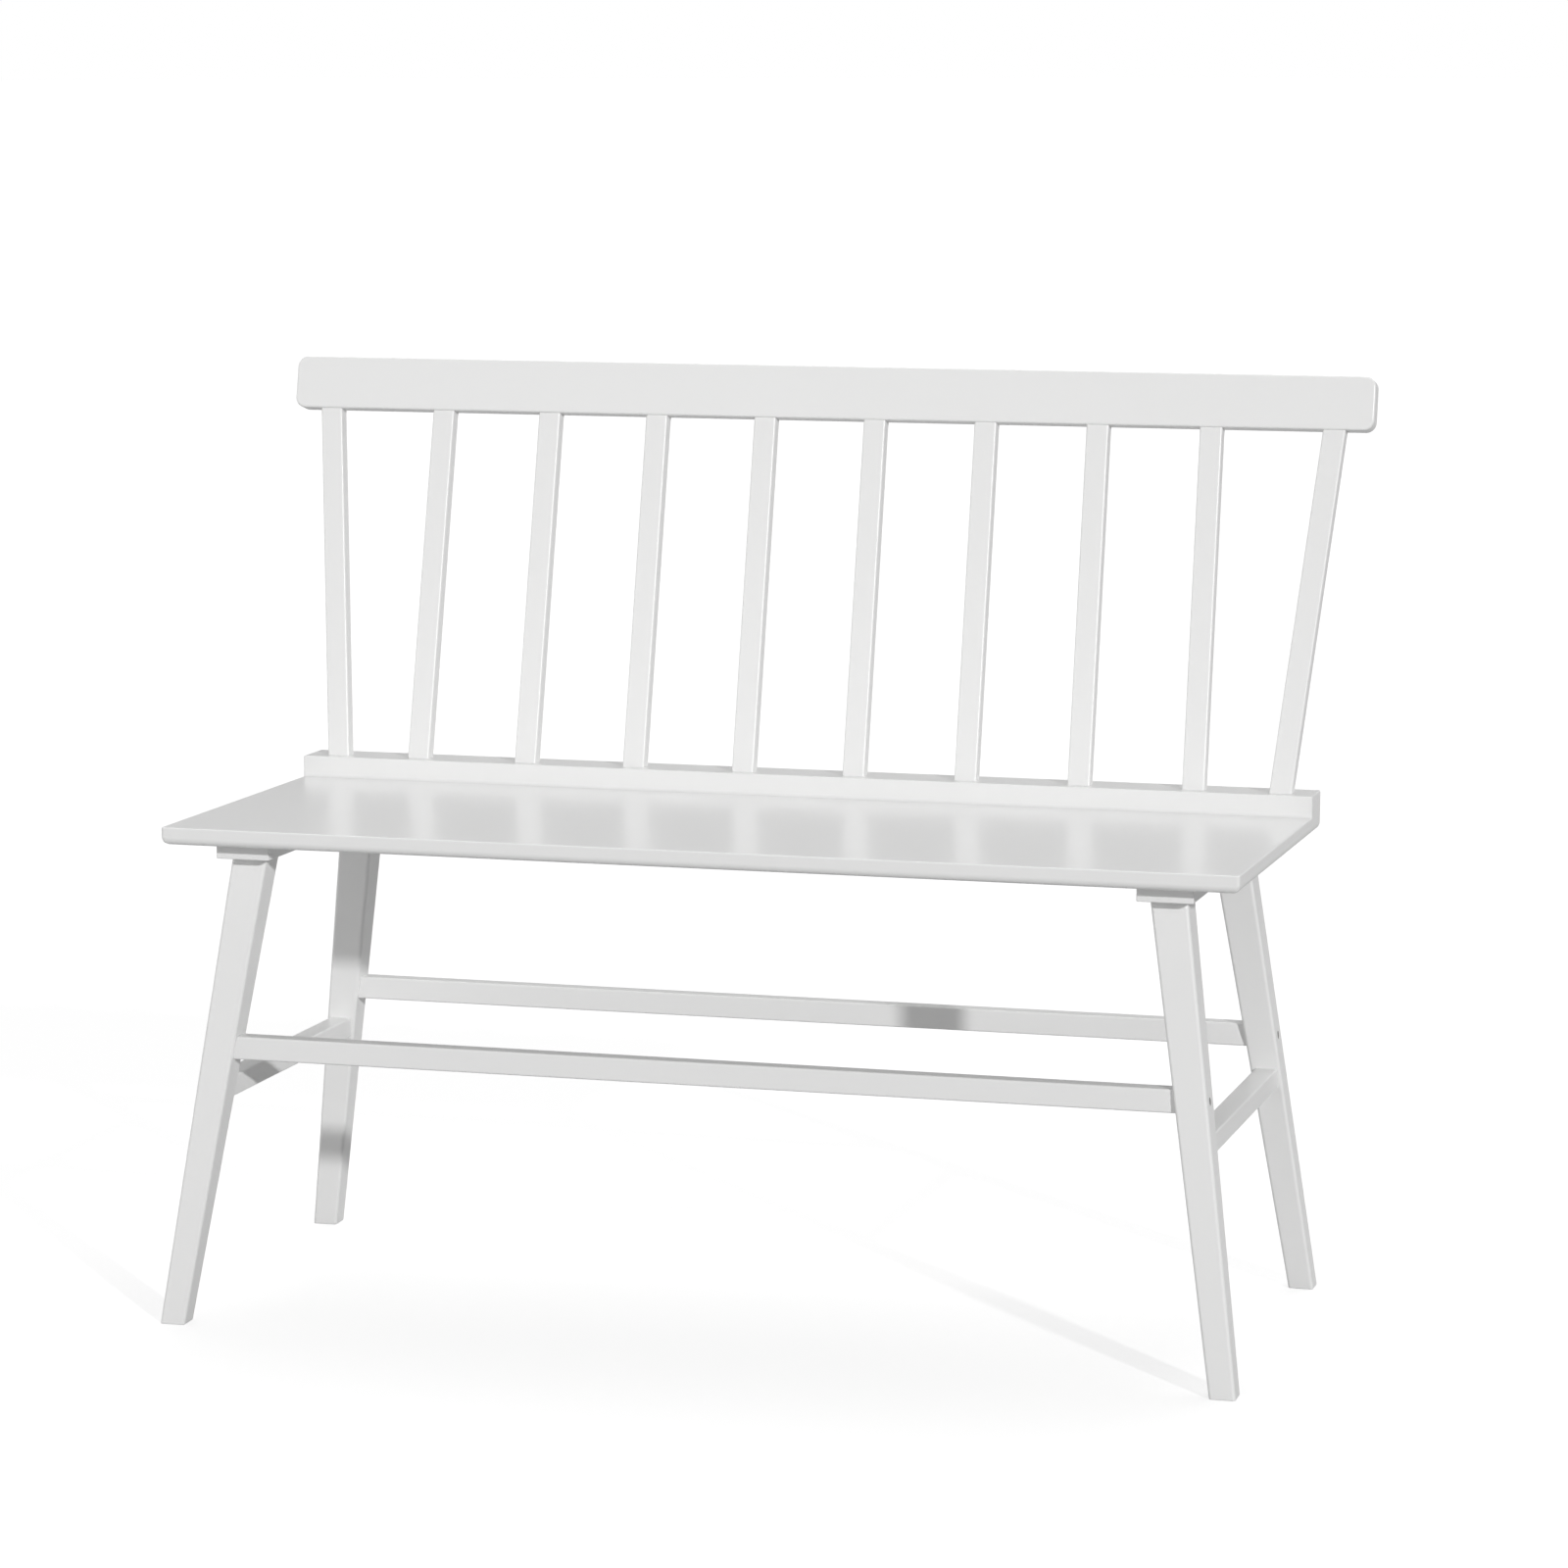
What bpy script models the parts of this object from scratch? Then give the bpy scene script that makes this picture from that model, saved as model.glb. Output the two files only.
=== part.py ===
"""Slat-back dining bench: a raked seat board with a raised back ledge, a leaning back of ten slats
under a top rail, and four splayed, tapered legs tied by cleats, side stretchers and long stretchers.

Frames: the bench datum has its origin on the floor below the middle of the whole bench, +X along the
length, +Y to the back and +Z up. The seat datum lies on the top front edge of the seat and is tipped
back by the rake, so y is measured back over the seat and z up from its top face.
"""
from math import atan2, cos, pi, radians, sin, tan

import bmesh
import bpy
from mathutils import Matrix, Vector

# Fits between pieces that touch
fit_gap = 0.0003
pocket_end_gap = 0.0005

# Seat board, with the ledge that carries the back
seat_depth = 0.429
seat_thickness = 0.0163
seat_front_height = 0.4653
seat_rake = radians(1.2)
seat_end_margin = 0.0322
seat_lower_radius = 0.007
seat_upper_radius = 0.0014
seat_corner_radius = 0.0035
ledge_depth = 0.050
ledge_height = 0.0205
ledge_fillet = 0.003

# Back slats: an even inner row and one splayed slat at each end
inner_slat_count = 8
slat_pitch_foot = 0.110
slat_pitch_top = 0.1093
end_slat_step_foot = 0.0828
end_slat_step_top = 0.1172
slat_width = 0.0215
slat_thickness = 0.0154
slat_length = 0.3432
slat_setback = 0.011
slat_edge_radius = 0.0018
back_lean = radians(12.4)
slat_tenon_width = 0.013
slat_tenon_thickness = 0.008
slat_tenon_in_ledge = 0.024
slat_tenon_in_rail = 0.020

# Top rail
rail_height = 0.0512
rail_thickness = 0.020
rail_end_margin = 0.0375
rail_corner_radius = 0.010
rail_edge_radius = 0.0022

# Cleats under the seat, one across each end
cleat_width = 0.051
cleat_thickness = 0.014
cleat_front_inset = 0.025
cleat_back_inset = 0.037
cleat_end_inset = 0.0703
cleat_edge_radius = 0.001

# Legs, tapered and splayed both ways
leg_top_width = 0.0338
leg_top_depth = 0.0350
leg_foot_width = 0.0240
leg_foot_depth = 0.0245
leg_cleat_inset = 0.0356
leg_side_splay = radians(8.3)
leg_front_splay = radians(7.75)
leg_edge_radius = 0.003
leg_foot_chamfer = 0.001
leg_tenon_size = 0.020

# Side stretchers, tenoned into the legs
side_stretcher_drop = 0.2484
side_stretcher_width = 0.021
side_stretcher_height = 0.0195
side_tenon_width = 0.013
side_tenon_height = 0.012
side_tenon_length = 0.012

# Long stretchers, bolted between the end frames
long_stretcher_drop = 0.2076
long_stretcher_height = 0.0215
long_stretcher_depth = 0.0192
stub_tenon_height = 0.015
stub_tenon_depth = 0.013
stub_tenon_length = 0.006
stretcher_edge_radius = 0.0018

# Connector bolts and barrel nuts
bolt_shank_diameter = 0.0045
bolt_head_diameter = 0.0066
bolt_head_length = 0.004
bolt_head_recess = 0.006
bolt_socket_width = 0.003
bolt_socket_depth = 0.002
bolt_tip_beyond_nut = 0.010
nut_diameter = 0.010
nut_length = 0.014
nut_from_leg = 0.026

# Countersunk screws that hold the seat on the cleats
screws_per_cleat = 3
screw_shank_diameter = 0.004
screw_head_diameter = 0.008
screw_head_depth = 0.003
screw_bite = 0.011
screw_point_length = 0.003
screw_leg_clearance = 0.045

# Facets
round_segments = 20
edge_segments = 3
corner_segments = 6
hexagon = 6

easing_angle = radians(40)
smooth_angle = radians(35)
same_way = radians(25)

# How far a piece or cutter runs past the face that trims it
overrun = 0.03
tenon_root = 0.004
tolerance = 0.00001

paint = ((0.84, 0.84, 0.83), 0.32, 0.0)
steel = ((0.42, 0.42, 0.43), 0.35, 1.0)
zinc = ((0.60, 0.60, 0.58), 0.40, 1.0)

sides = {"left": -1, "right": 1}
ends = {"front": -1, "back": 1}


def inner_slat_xs(pitch):
    """Places along X of the inner slats for one pitch."""
    return [(index - (inner_slat_count - 1) / 2) * pitch for index in range(inner_slat_count)]


# Sizes that follow from the slat row
last_inner_foot = inner_slat_xs(slat_pitch_foot)[-1]
last_inner_top = inner_slat_xs(slat_pitch_top)[-1]
end_slat_foot = last_inner_foot + end_slat_step_foot
end_slat_top = last_inner_top + end_slat_step_top
seat_half_length = end_slat_foot + seat_end_margin
rail_half_length = end_slat_top + rail_end_margin

# Places in the seat datum
ledge_front = seat_depth - ledge_depth
slat_foot_y = ledge_front + slat_setback + slat_thickness / 2 / cos(back_lean)
back_up = Vector((0, sin(back_lean), cos(back_lean)))
rail_under = Vector((0, slat_foot_y, ledge_height)) + back_up * slat_length
cleat_x = seat_half_length - cleat_end_inset
cleat_back = seat_depth - cleat_back_inset
cleat_top_drop = seat_thickness + fit_gap
cleat_under_drop = cleat_top_drop + cleat_thickness
leg_front_y = cleat_front_inset + leg_cleat_inset

# The floor frame lies below the seat's front edge
seat_frame = Matrix.Translation((0, 0, seat_front_height)) @ Matrix.Rotation(-seat_rake, 4, "X")
floor_frame = seat_frame.inverted()


def leg_foot(side, end):
    """Centre of a leg's foot, in the floor frame: the four feet are mirror images of one another."""
    front_top = seat_frame @ Vector((cleat_x, leg_front_y, -cleat_under_drop))
    middle = seat_frame @ Vector((0, (cleat_front_inset + cleat_back) / 2, -cleat_under_drop))
    out_x = front_top.x + front_top.z * tan(leg_side_splay)
    out_y = middle.y - front_top.y + front_top.z * tan(leg_front_splay)
    return Vector((sides[side] * out_x, middle.y + ends[end] * out_y, 0))


def leg_axis_at(side, end, drop):
    """Point of a leg's axis at a drop below the seat, in the seat datum."""
    foot = leg_foot(side, end)
    rise = Vector((-sides[side] * tan(leg_side_splay), -ends[end] * tan(leg_front_splay), 1))
    foot, rise = floor_frame @ foot, floor_frame.to_3x3() @ rise
    return foot + rise * ((-drop - foot.z) / rise.z)


def leg_top(side, end):
    """Centre of a leg where it meets its cleat, in the floor frame. The rake cuts the back legs shorter."""
    return seat_frame @ leg_axis_at(side, end, cleat_under_drop + fit_gap)


def leg_face(side, end, outward):
    """Plane of one leg face as a point and a unit normal that points away from the leg.

    outward is the rough direction of the face: a signed X or Y axis.
    """
    along_x = abs(outward.x) > abs(outward.y)
    top_half = (leg_top_width if along_x else leg_top_depth) / 2
    foot_half = (leg_foot_width if along_x else leg_foot_depth) / 2
    on_top = leg_top(side, end) + outward * top_half
    on_foot = leg_foot(side, end) + outward * foot_half
    edge_axis = Vector((0, 1, 0)) if along_x else Vector((1, 0, 0))
    normal = (on_top - on_foot).cross(edge_axis).normalized()
    return on_foot, normal if normal.dot(outward) > 0 else -normal


# Middle of the bench along Y: the front feet reach furthest forward and the rail furthest back
rail_corner = rail_under + back_up * (rail_height - rail_edge_radius)
rail_corner.y += (rail_thickness / 2 - rail_edge_radius) * cos(back_lean)
rail_corner.z -= (rail_thickness / 2 - rail_edge_radius) * sin(back_lean)
backmost = (seat_frame @ rail_corner).y + rail_edge_radius
frontmost = leg_foot("left", "front").y - leg_foot_depth / 2
middle_y = (frontmost + backmost) / 2


def clear_scene():
    """Remove every object and the collections they were in."""
    for scene_object in list(bpy.data.objects):
        bpy.data.objects.remove(scene_object, do_unlink=True)
    for group in list(bpy.data.collections):
        bpy.data.collections.remove(group)


def make_collection(name):
    """Add a collection to the scene."""
    group = bpy.data.collections.new(name)
    bpy.context.scene.collection.children.link(group)
    return group


def make_datum(name, parent, matrix):
    """Add an empty that carries pieces."""
    datum = bpy.data.objects.new(name, None)
    parts.objects.link(datum)
    datum.parent = parent
    datum.matrix_local = matrix
    return datum


def add_material(piece, look):
    """Give a piece its own Principled material."""
    colour, roughness, metallic = look
    material = bpy.data.materials.new(piece.name + "_finish")
    material.use_nodes = True
    shader = material.node_tree.nodes["Principled BSDF"]
    shader.inputs["Base Color"].default_value = (*colour, 1)
    shader.inputs["Roughness"].default_value = roughness
    shader.inputs["Metallic"].default_value = metallic
    piece.data.materials.append(material)


def place(name, mesh_edit, parent, matrix=None, look=None):
    """Turn an edit mesh into an object: a part when it has a look, otherwise a cutter or tenon."""
    mesh = bpy.data.meshes.new(name)
    bmesh.ops.recalc_face_normals(mesh_edit, faces=mesh_edit.faces[:])
    mesh_edit.to_mesh(mesh)
    mesh_edit.free()
    piece = bpy.data.objects.new(name, mesh)
    (parts if look else cutters).objects.link(piece)
    piece.parent = parent
    piece.matrix_local = matrix or Matrix.Identity(4)
    if look:
        add_material(piece, look)
    else:
        piece.hide_render = True
        piece.display_type = "WIRE"
    return piece


def box(size, centre=(0, 0, 0)):
    """Edit mesh of a box."""
    mesh_edit = bmesh.new()
    matrix = Matrix.Translation(centre) @ Matrix.Diagonal((*size, 1))
    bmesh.ops.create_cube(mesh_edit, size=1, matrix=matrix)
    return mesh_edit


def rod(diameter, start, end, segments=round_segments):
    """Edit mesh of a cylinder along Z between two heights."""
    mesh_edit = bmesh.new()
    bmesh.ops.create_cone(mesh_edit, cap_ends=True, segments=segments, radius1=diameter / 2,
                          radius2=diameter / 2, depth=end - start,
                          matrix=Matrix.Translation((0, 0, (start + end) / 2)))
    return mesh_edit


def edges_along(mesh_edit, axis):
    """Edges that run mostly along an axis."""
    def direction(edge):
        return (edge.verts[1].co - edge.verts[0].co).normalized()
    return [edge for edge in mesh_edit.edges if abs(direction(edge).dot(axis)) > cos(same_way)]


def round_edges(mesh_edit, edges, radius, segments=edge_segments):
    """Round some edges of an edit mesh."""
    bmesh.ops.bevel(mesh_edit, geom=edges, offset=radius, offset_type="OFFSET", segments=segments,
                    profile=0.5, affect="EDGES")


def trim(mesh_edit, point, normal):
    """Cut off what lies beyond a plane, on the side its normal points to, and close the cut."""
    everything = mesh_edit.verts[:] + mesh_edit.edges[:] + mesh_edit.faces[:]
    cut = bmesh.ops.bisect_plane(mesh_edit, geom=everything, plane_co=point, plane_no=normal,
                                 clear_outer=True)["geom_cut"]
    rim = [item for item in cut if isinstance(item, bmesh.types.BMEdge)]
    bmesh.ops.holes_fill(mesh_edit, edges=rim)


def trim_to_leg(mesh_edit, side, end, outward):
    """Trim a stretcher, modelled in the seat datum, to a leg's face with the fit gap."""
    point, normal = leg_face(side, end, outward)
    trim(mesh_edit, floor_frame @ (point + normal * fit_gap), -(floor_frame.to_3x3() @ normal))


def combine(piece, operation, tool):
    """Join a tenon to a piece, or cut a piece with a cutter."""
    boolean = piece.modifiers.new(operation.lower() + "_" + tool.name, "BOOLEAN")
    boolean.operation = operation
    boolean.solver = "EXACT"
    boolean.object = tool


def tenon_and_mortise(name, holder, socket, parent, matrix, section, depth):
    """Join a tenon to its holder and cut the pocket for it in the socket piece.

    The tenon runs along +Z of the matrix from a little inside the holder. The pocket has the fit gap
    on each side and runs a little deeper than the tenon, and starts outside the socket's face.
    """
    width, thickness = section
    tenon = place(name + "_tenon", box((width, thickness, depth + tenon_root),
                                       (0, 0, (depth - tenon_root) / 2)), parent, matrix)
    combine(holder, "UNION", tenon)
    pocket_depth = depth + pocket_end_gap
    pocket = place(name + "_mortise", box((width + 2 * fit_gap, thickness + 2 * fit_gap,
                                           pocket_depth + tenon_root),
                                          (0, 0, (pocket_depth - tenon_root) / 2)), parent, matrix)
    combine(socket, "DIFFERENCE", pocket)


def make_seat_board():
    """Seat board with its raised ledge, rounded more below than above."""
    length = 2 * seat_half_length
    mesh_edit = box((length, seat_depth, seat_thickness), (0, seat_depth / 2, -seat_thickness / 2))
    everything = mesh_edit.verts[:] + mesh_edit.edges[:] + mesh_edit.faces[:]
    bmesh.ops.bisect_plane(mesh_edit, geom=everything, plane_co=(0, ledge_front, 0), plane_no=(0, 1, 0))
    ledge_face = [face for face in mesh_edit.faces
                  if face.normal.z > cos(same_way) and face.calc_center_median().y > ledge_front]
    raised = bmesh.ops.extrude_face_region(mesh_edit, geom=ledge_face)["geom"]
    lifted = [item for item in raised if isinstance(item, bmesh.types.BMVert)]
    bmesh.ops.translate(mesh_edit, verts=lifted, vec=(0, 0, ledge_height))
    bmesh.ops.delete(mesh_edit, geom=[face for face in ledge_face if face.is_valid], context="FACES")
    bmesh.ops.dissolve_limit(mesh_edit, angle_limit=radians(1), verts=mesh_edit.verts[:],
                             edges=mesh_edit.edges[:])
    bmesh.ops.recalc_face_normals(mesh_edit, faces=mesh_edit.faces[:])

    largest = max(seat_lower_radius, seat_corner_radius, seat_upper_radius, ledge_fillet)
    weights = mesh_edit.edges.layers.float.new("bevel_weight_edge")
    for edge in mesh_edit.edges:
        edge[weights] = seat_edge_radius(edge) / largest
    board = place("seat_board", mesh_edit, seat_datum, look=paint)
    rounding = board.modifiers.new("rounding", "BEVEL")
    rounding.limit_method = "WEIGHT"
    rounding.width = largest
    rounding.segments = edge_segments
    return board


def seat_edge_radius(edge):
    """Radius of one edge of the seat board, told by where the edge lies."""
    low, high = sorted(vert.co.z for vert in edge.verts)
    middle = (edge.verts[0].co + edge.verts[1].co) / 2
    on_ledge_front = abs(middle.y - ledge_front) < tolerance
    if high - low > seat_thickness / 2:
        return seat_upper_radius if on_ledge_front else seat_corner_radius
    if high < -seat_thickness / 2:
        return seat_lower_radius
    return ledge_fillet if on_ledge_front and high < ledge_height / 2 else seat_upper_radius


def make_top_rail():
    """Top rail: a board with rounded corners in front view and eased edges all round."""
    mesh_edit = box((2 * rail_half_length, rail_thickness, rail_height), (0, 0, rail_height / 2))
    round_edges(mesh_edit, edges_along(mesh_edit, Vector((0, 1, 0))), rail_corner_radius, corner_segments)
    matrix = Matrix.Translation(rail_under) @ Matrix.Rotation(-back_lean, 4, "X")
    rail = place("top_rail", mesh_edit, seat_datum, matrix, paint)
    easing = rail.modifiers.new("easing", "BEVEL")
    easing.limit_method = "ANGLE"
    easing.angle_limit = easing_angle
    easing.width = rail_edge_radius
    easing.segments = edge_segments
    return rail


def make_slat(number, foot_x, top_x, board, rail):
    """One back slat: a bar cut to the ledge and to the rail, with a tenon at each end.

    Every tenon points along the lean of the back, so the rail drops on all ten at once, although the
    end slats are splayed.
    """
    name = f"back_slat_{number:02d}"
    splay = atan2(top_x - foot_x, slat_length)
    foot = Vector((foot_x, slat_foot_y, ledge_height))
    lean = Matrix.Rotation(-back_lean, 4, "X")
    turn = lean @ Matrix.Rotation(splay, 4, "Y")
    to_slat = turn.to_3x3().inverted()

    mesh_edit = box((slat_width, slat_thickness, slat_length + 2 * overrun), (0, 0, slat_length / 2))
    round_edges(mesh_edit, edges_along(mesh_edit, Vector((0, 0, 1))), slat_edge_radius)
    down = to_slat @ Vector((0, 0, -1))
    up = to_slat @ back_up
    trim(mesh_edit, down * -fit_gap, down)
    trim(mesh_edit, up * (slat_length - fit_gap), up)
    slat = place(name, mesh_edit, seat_datum, Matrix.Translation(foot) @ turn, paint)

    section = (slat_tenon_width, slat_tenon_thickness)
    facing_down = Matrix.Translation(foot) @ lean @ Matrix.Rotation(pi, 4, "X")
    tenon_and_mortise(name + "_foot", slat, board, seat_datum, facing_down, section, slat_tenon_in_ledge)
    head = rail_under + Vector((top_x, 0, 0))
    tenon_and_mortise(name + "_head", slat, rail, seat_datum, Matrix.Translation(head) @ lean, section,
                      slat_tenon_in_rail)


def make_slats(board, rail):
    """The slat row from left to right."""
    feet = [-end_slat_foot, *inner_slat_xs(slat_pitch_foot), end_slat_foot]
    tops = [-end_slat_top, *inner_slat_xs(slat_pitch_top), end_slat_top]
    for number, (foot_x, top_x) in enumerate(zip(feet, tops), start=1):
        make_slat(number, foot_x, top_x, board, rail)


def make_cleat(side):
    """Cleat under one end of the seat."""
    length = cleat_back - cleat_front_inset
    centre = (sides[side] * cleat_x, cleat_front_inset + length / 2, -cleat_top_drop - cleat_thickness / 2)
    mesh_edit = box((cleat_width, length, cleat_thickness), centre)
    round_edges(mesh_edit, mesh_edit.edges[:], cleat_edge_radius, 1)
    return place("seat_cleat_" + side, mesh_edit, seat_datum, look=paint)


def make_leg(side, end, cleat):
    """One leg: a tapered, splayed post, cut to the cleat and tenoned through it."""
    foot, top = leg_foot(side, end), leg_top(side, end)
    past = (top.z + overrun) / top.z
    mesh_edit = box((1, 1, 1))
    for vert in mesh_edit.verts:
        share = past if vert.co.z > 0 else 0
        width = leg_foot_width + (leg_top_width - leg_foot_width) * share
        depth = leg_foot_depth + (leg_top_depth - leg_foot_depth) * share
        vert.co = (top - foot) * share + Vector((vert.co.x * width, vert.co.y * depth, 0))
    round_edges(mesh_edit, edges_along(mesh_edit, (top - foot).normalized()), leg_edge_radius)
    foot_rim = [edge for edge in mesh_edit.edges if max(vert.co.z for vert in edge.verts) < tolerance]
    round_edges(mesh_edit, foot_rim, leg_foot_chamfer, 1)
    trim(mesh_edit, top - foot, seat_frame.to_3x3() @ Vector((0, 0, 1)))
    leg = place(f"leg_{end}_{side}", mesh_edit, bench_datum, Matrix.Translation(foot), paint)

    shoulder = Matrix.Translation(leg_axis_at(side, end, cleat_under_drop))
    depth = cleat_thickness - fit_gap
    tenon = place(f"leg_{end}_{side}_tenon", box((leg_tenon_size, leg_tenon_size, depth + tenon_root),
                                                 (0, 0, (depth - tenon_root) / 2)), seat_datum, shoulder)
    combine(leg, "UNION", tenon)
    hole_size = leg_tenon_size + 2 * fit_gap
    hole = place(f"leg_{end}_{side}_mortise", box((hole_size, hole_size, cleat_thickness + 2 * overrun)),
                 seat_datum, shoulder)
    combine(cleat, "DIFFERENCE", hole)
    return leg


def make_side_stretcher(side, legs):
    """Stretcher between the front and back legs of one end, parallel to the seat."""
    front = leg_axis_at(side, "front", side_stretcher_drop)
    back = leg_axis_at(side, "back", side_stretcher_drop)
    middle = (front + back) / 2
    mesh_edit = box((side_stretcher_width, back.y - front.y, side_stretcher_height), middle)
    round_edges(mesh_edit, edges_along(mesh_edit, Vector((0, 1, 0))), stretcher_edge_radius)
    trim_to_leg(mesh_edit, side, "front", Vector((0, 1, 0)))
    trim_to_leg(mesh_edit, side, "back", Vector((0, -1, 0)))
    stretcher = place("side_stretcher_" + side, mesh_edit, seat_datum, look=paint)
    section = (side_tenon_width, side_tenon_height)
    for end, toward in ends.items():
        shoulder = point_on_leg_face(side, end, Vector((0, -toward, 0)), middle)
        facing = Matrix.Rotation(-toward * pi / 2, 4, "X")
        tenon_and_mortise(f"side_{side}_{end}", stretcher, legs[side, end], seat_datum,
                          Matrix.Translation(shoulder) @ facing, section, side_tenon_length)
    return stretcher


def point_on_leg_face(side, end, outward, near):
    """Where a line through a seat-datum point, along the face's rough direction, meets the leg's face."""
    point, normal = leg_face(side, end, outward)
    point, normal = floor_frame @ point, floor_frame.to_3x3() @ normal
    distance = (point - near).dot(normal) / outward.dot(normal)
    return near + outward * distance


def make_long_stretcher(end, legs):
    """Stretcher between the two end frames, with a stub tenon, a bolt and a barrel nut at each end."""
    middle = leg_axis_at("left", end, long_stretcher_drop)
    half_length = -middle.x
    middle.x = 0
    mesh_edit = box((2 * half_length, long_stretcher_depth, long_stretcher_height), middle)
    round_edges(mesh_edit, edges_along(mesh_edit, Vector((1, 0, 0))), stretcher_edge_radius)
    for side, toward in sides.items():
        trim_to_leg(mesh_edit, side, end, Vector((-toward, 0, 0)))
    stretcher = place("long_stretcher_" + end, mesh_edit, seat_datum, look=paint)
    for side, toward in sides.items():
        shoulder = point_on_leg_face(side, end, Vector((-toward, 0, 0)), middle)
        facing = Matrix.Rotation(toward * pi / 2, 4, "Y")
        section = (stub_tenon_height, stub_tenon_depth)
        tenon_and_mortise(f"long_{end}_{side}", stretcher, legs[side, end], seat_datum,
                          Matrix.Translation(shoulder) @ facing, section, stub_tenon_length)
        fasten(end, side, stretcher, legs[side, end], shoulder)
    return stretcher


def fasten(end, side, stretcher, leg, shoulder):
    """Connector bolt through a leg into a barrel nut in the long stretcher's end.

    The bolt is modelled with its head at the origin and its shank along -Z, and turned so that -Z
    points from the leg's outer face to the middle of the bench.
    """
    toward = sides[side]
    outer = point_on_leg_face(side, end, Vector((toward, 0, 0)), shoulder)
    seat_of_head = abs(outer.x) - bolt_head_recess - bolt_head_length
    nut_x = abs(shoulder.x) - nut_from_leg
    shank_length = seat_of_head - nut_x + bolt_tip_beyond_nut
    turn = Matrix.Rotation(toward * pi / 2, 4, "Y")
    place_of_head = Matrix.Translation((toward * seat_of_head, outer.y, outer.z)) @ turn

    bolt = place(f"stretcher_bolt_{end}_{side}", rod(bolt_head_diameter, 0, bolt_head_length), seat_datum,
                 place_of_head, steel)
    shank = place(f"bolt_shank_{end}_{side}", rod(bolt_shank_diameter, -shank_length, bolt_head_length / 2),
                  seat_datum, place_of_head)
    combine(bolt, "UNION", shank)
    corner_to_corner = bolt_socket_width / cos(pi / hexagon)
    socket = place(f"bolt_socket_{end}_{side}", rod(corner_to_corner, bolt_head_length - bolt_socket_depth,
                                                    overrun, hexagon), seat_datum, place_of_head)
    combine(bolt, "DIFFERENCE", socket)

    bore_diameter = bolt_shank_diameter + 2 * fit_gap
    bore = place(f"bolt_bore_{end}_{side}", rod(bore_diameter, -shank_length - pocket_end_gap, overrun),
                 seat_datum, place_of_head)
    head_bore = place(f"bolt_head_bore_{end}_{side}", rod(bolt_head_diameter + 2 * fit_gap, -fit_gap,
                                                          overrun), seat_datum, place_of_head)
    for piece, tool in ((leg, bore), (leg, head_bore), (stretcher, bore)):
        combine(piece, "DIFFERENCE", tool)

    nut_place = Matrix.Translation((toward * nut_x, shoulder.y, shoulder.z - nut_length / 2))
    nut = place(f"barrel_nut_{end}_{side}", rod(nut_diameter, 0, nut_length), seat_datum, nut_place, zinc)
    combine(nut, "DIFFERENCE", bore)
    nut_hole = place(f"nut_hole_{end}_{side}", rod(nut_diameter + 2 * fit_gap, -overrun,
                                                   nut_length + pocket_end_gap), seat_datum, nut_place)
    combine(stretcher, "DIFFERENCE", nut_hole)


def turned(name, profile, parent, matrix, look=None):
    """Solid turned about Z from (radius, height) points that run down the outer side."""
    mesh_edit = bmesh.new()
    verts = [mesh_edit.verts.new((radius, 0, height)) for radius, height in profile]
    for first, second in zip(verts, verts[1:]):
        mesh_edit.edges.new((first, second))
    piece = place(name, mesh_edit, parent, matrix, look)
    screw = piece.modifiers.new("turn", "SCREW")
    screw.steps = round_segments
    screw.render_steps = round_segments
    screw.use_merge_vertices = True
    screw.merge_threshold = tolerance
    return piece


def screw_profile(margin, length):
    """Profile of a countersunk screw, point up, or of its hole when a margin is given."""
    shank = screw_shank_diameter / 2 + margin
    head = screw_head_diameter / 2 + margin
    return [(0, length), (shank, length - screw_point_length), (shank, screw_head_depth), (head, 0), (0, 0)]


def make_cleat_screws(side, cleat, board):
    """Screws up through a cleat into the seat board, between the leg tenons."""
    first = leg_axis_at(side, "front", cleat_under_drop).y + screw_leg_clearance
    last = leg_axis_at(side, "back", cleat_under_drop).y - screw_leg_clearance
    length = cleat_thickness + screw_bite
    for number in range(screws_per_cleat):
        y = first + (last - first) * number / max(screws_per_cleat - 1, 1)
        spot = Matrix.Translation((sides[side] * cleat_x, y, -cleat_under_drop))
        name = f"cleat_screw_{side}_{number + 1}"
        turned(name, screw_profile(0, length), seat_datum, spot, zinc)
        hole = turned(name + "_hole", screw_profile(fit_gap, length + pocket_end_gap), seat_datum, spot)
        mouth = place(name + "_mouth", rod(screw_head_diameter + 2 * fit_gap, -overrun, 0), seat_datum, spot)
        combine(cleat, "DIFFERENCE", hole)
        combine(cleat, "DIFFERENCE", mouth)
        combine(board, "DIFFERENCE", hole)


def shade(piece):
    """Smooth the rounded surfaces and keep the sharp edges."""
    piece.data.shade_smooth()
    piece.data.set_sharp_from_angle(angle=smooth_angle)


clear_scene()
parts = make_collection("dining_bench")
cutters = make_collection("cutters")
bench_datum = make_datum("bench_datum", None, Matrix.Translation((0, -middle_y, 0)))
seat_datum = make_datum("seat_datum", bench_datum, seat_frame)

seat_board = make_seat_board()
top_rail = make_top_rail()
make_slats(seat_board, top_rail)
cleats = {side: make_cleat(side) for side in sides}
bench_legs = {(side, end): make_leg(side, end, cleats[side]) for side in sides for end in ends}
for side_name in sides:
    make_side_stretcher(side_name, bench_legs)
    make_cleat_screws(side_name, cleats[side_name], seat_board)
for end_name in ends:
    make_long_stretcher(end_name, bench_legs)
for bench_piece in parts.objects:
    if bench_piece.type == "MESH":
        shade(bench_piece)
bpy.context.view_layer.update()
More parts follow.
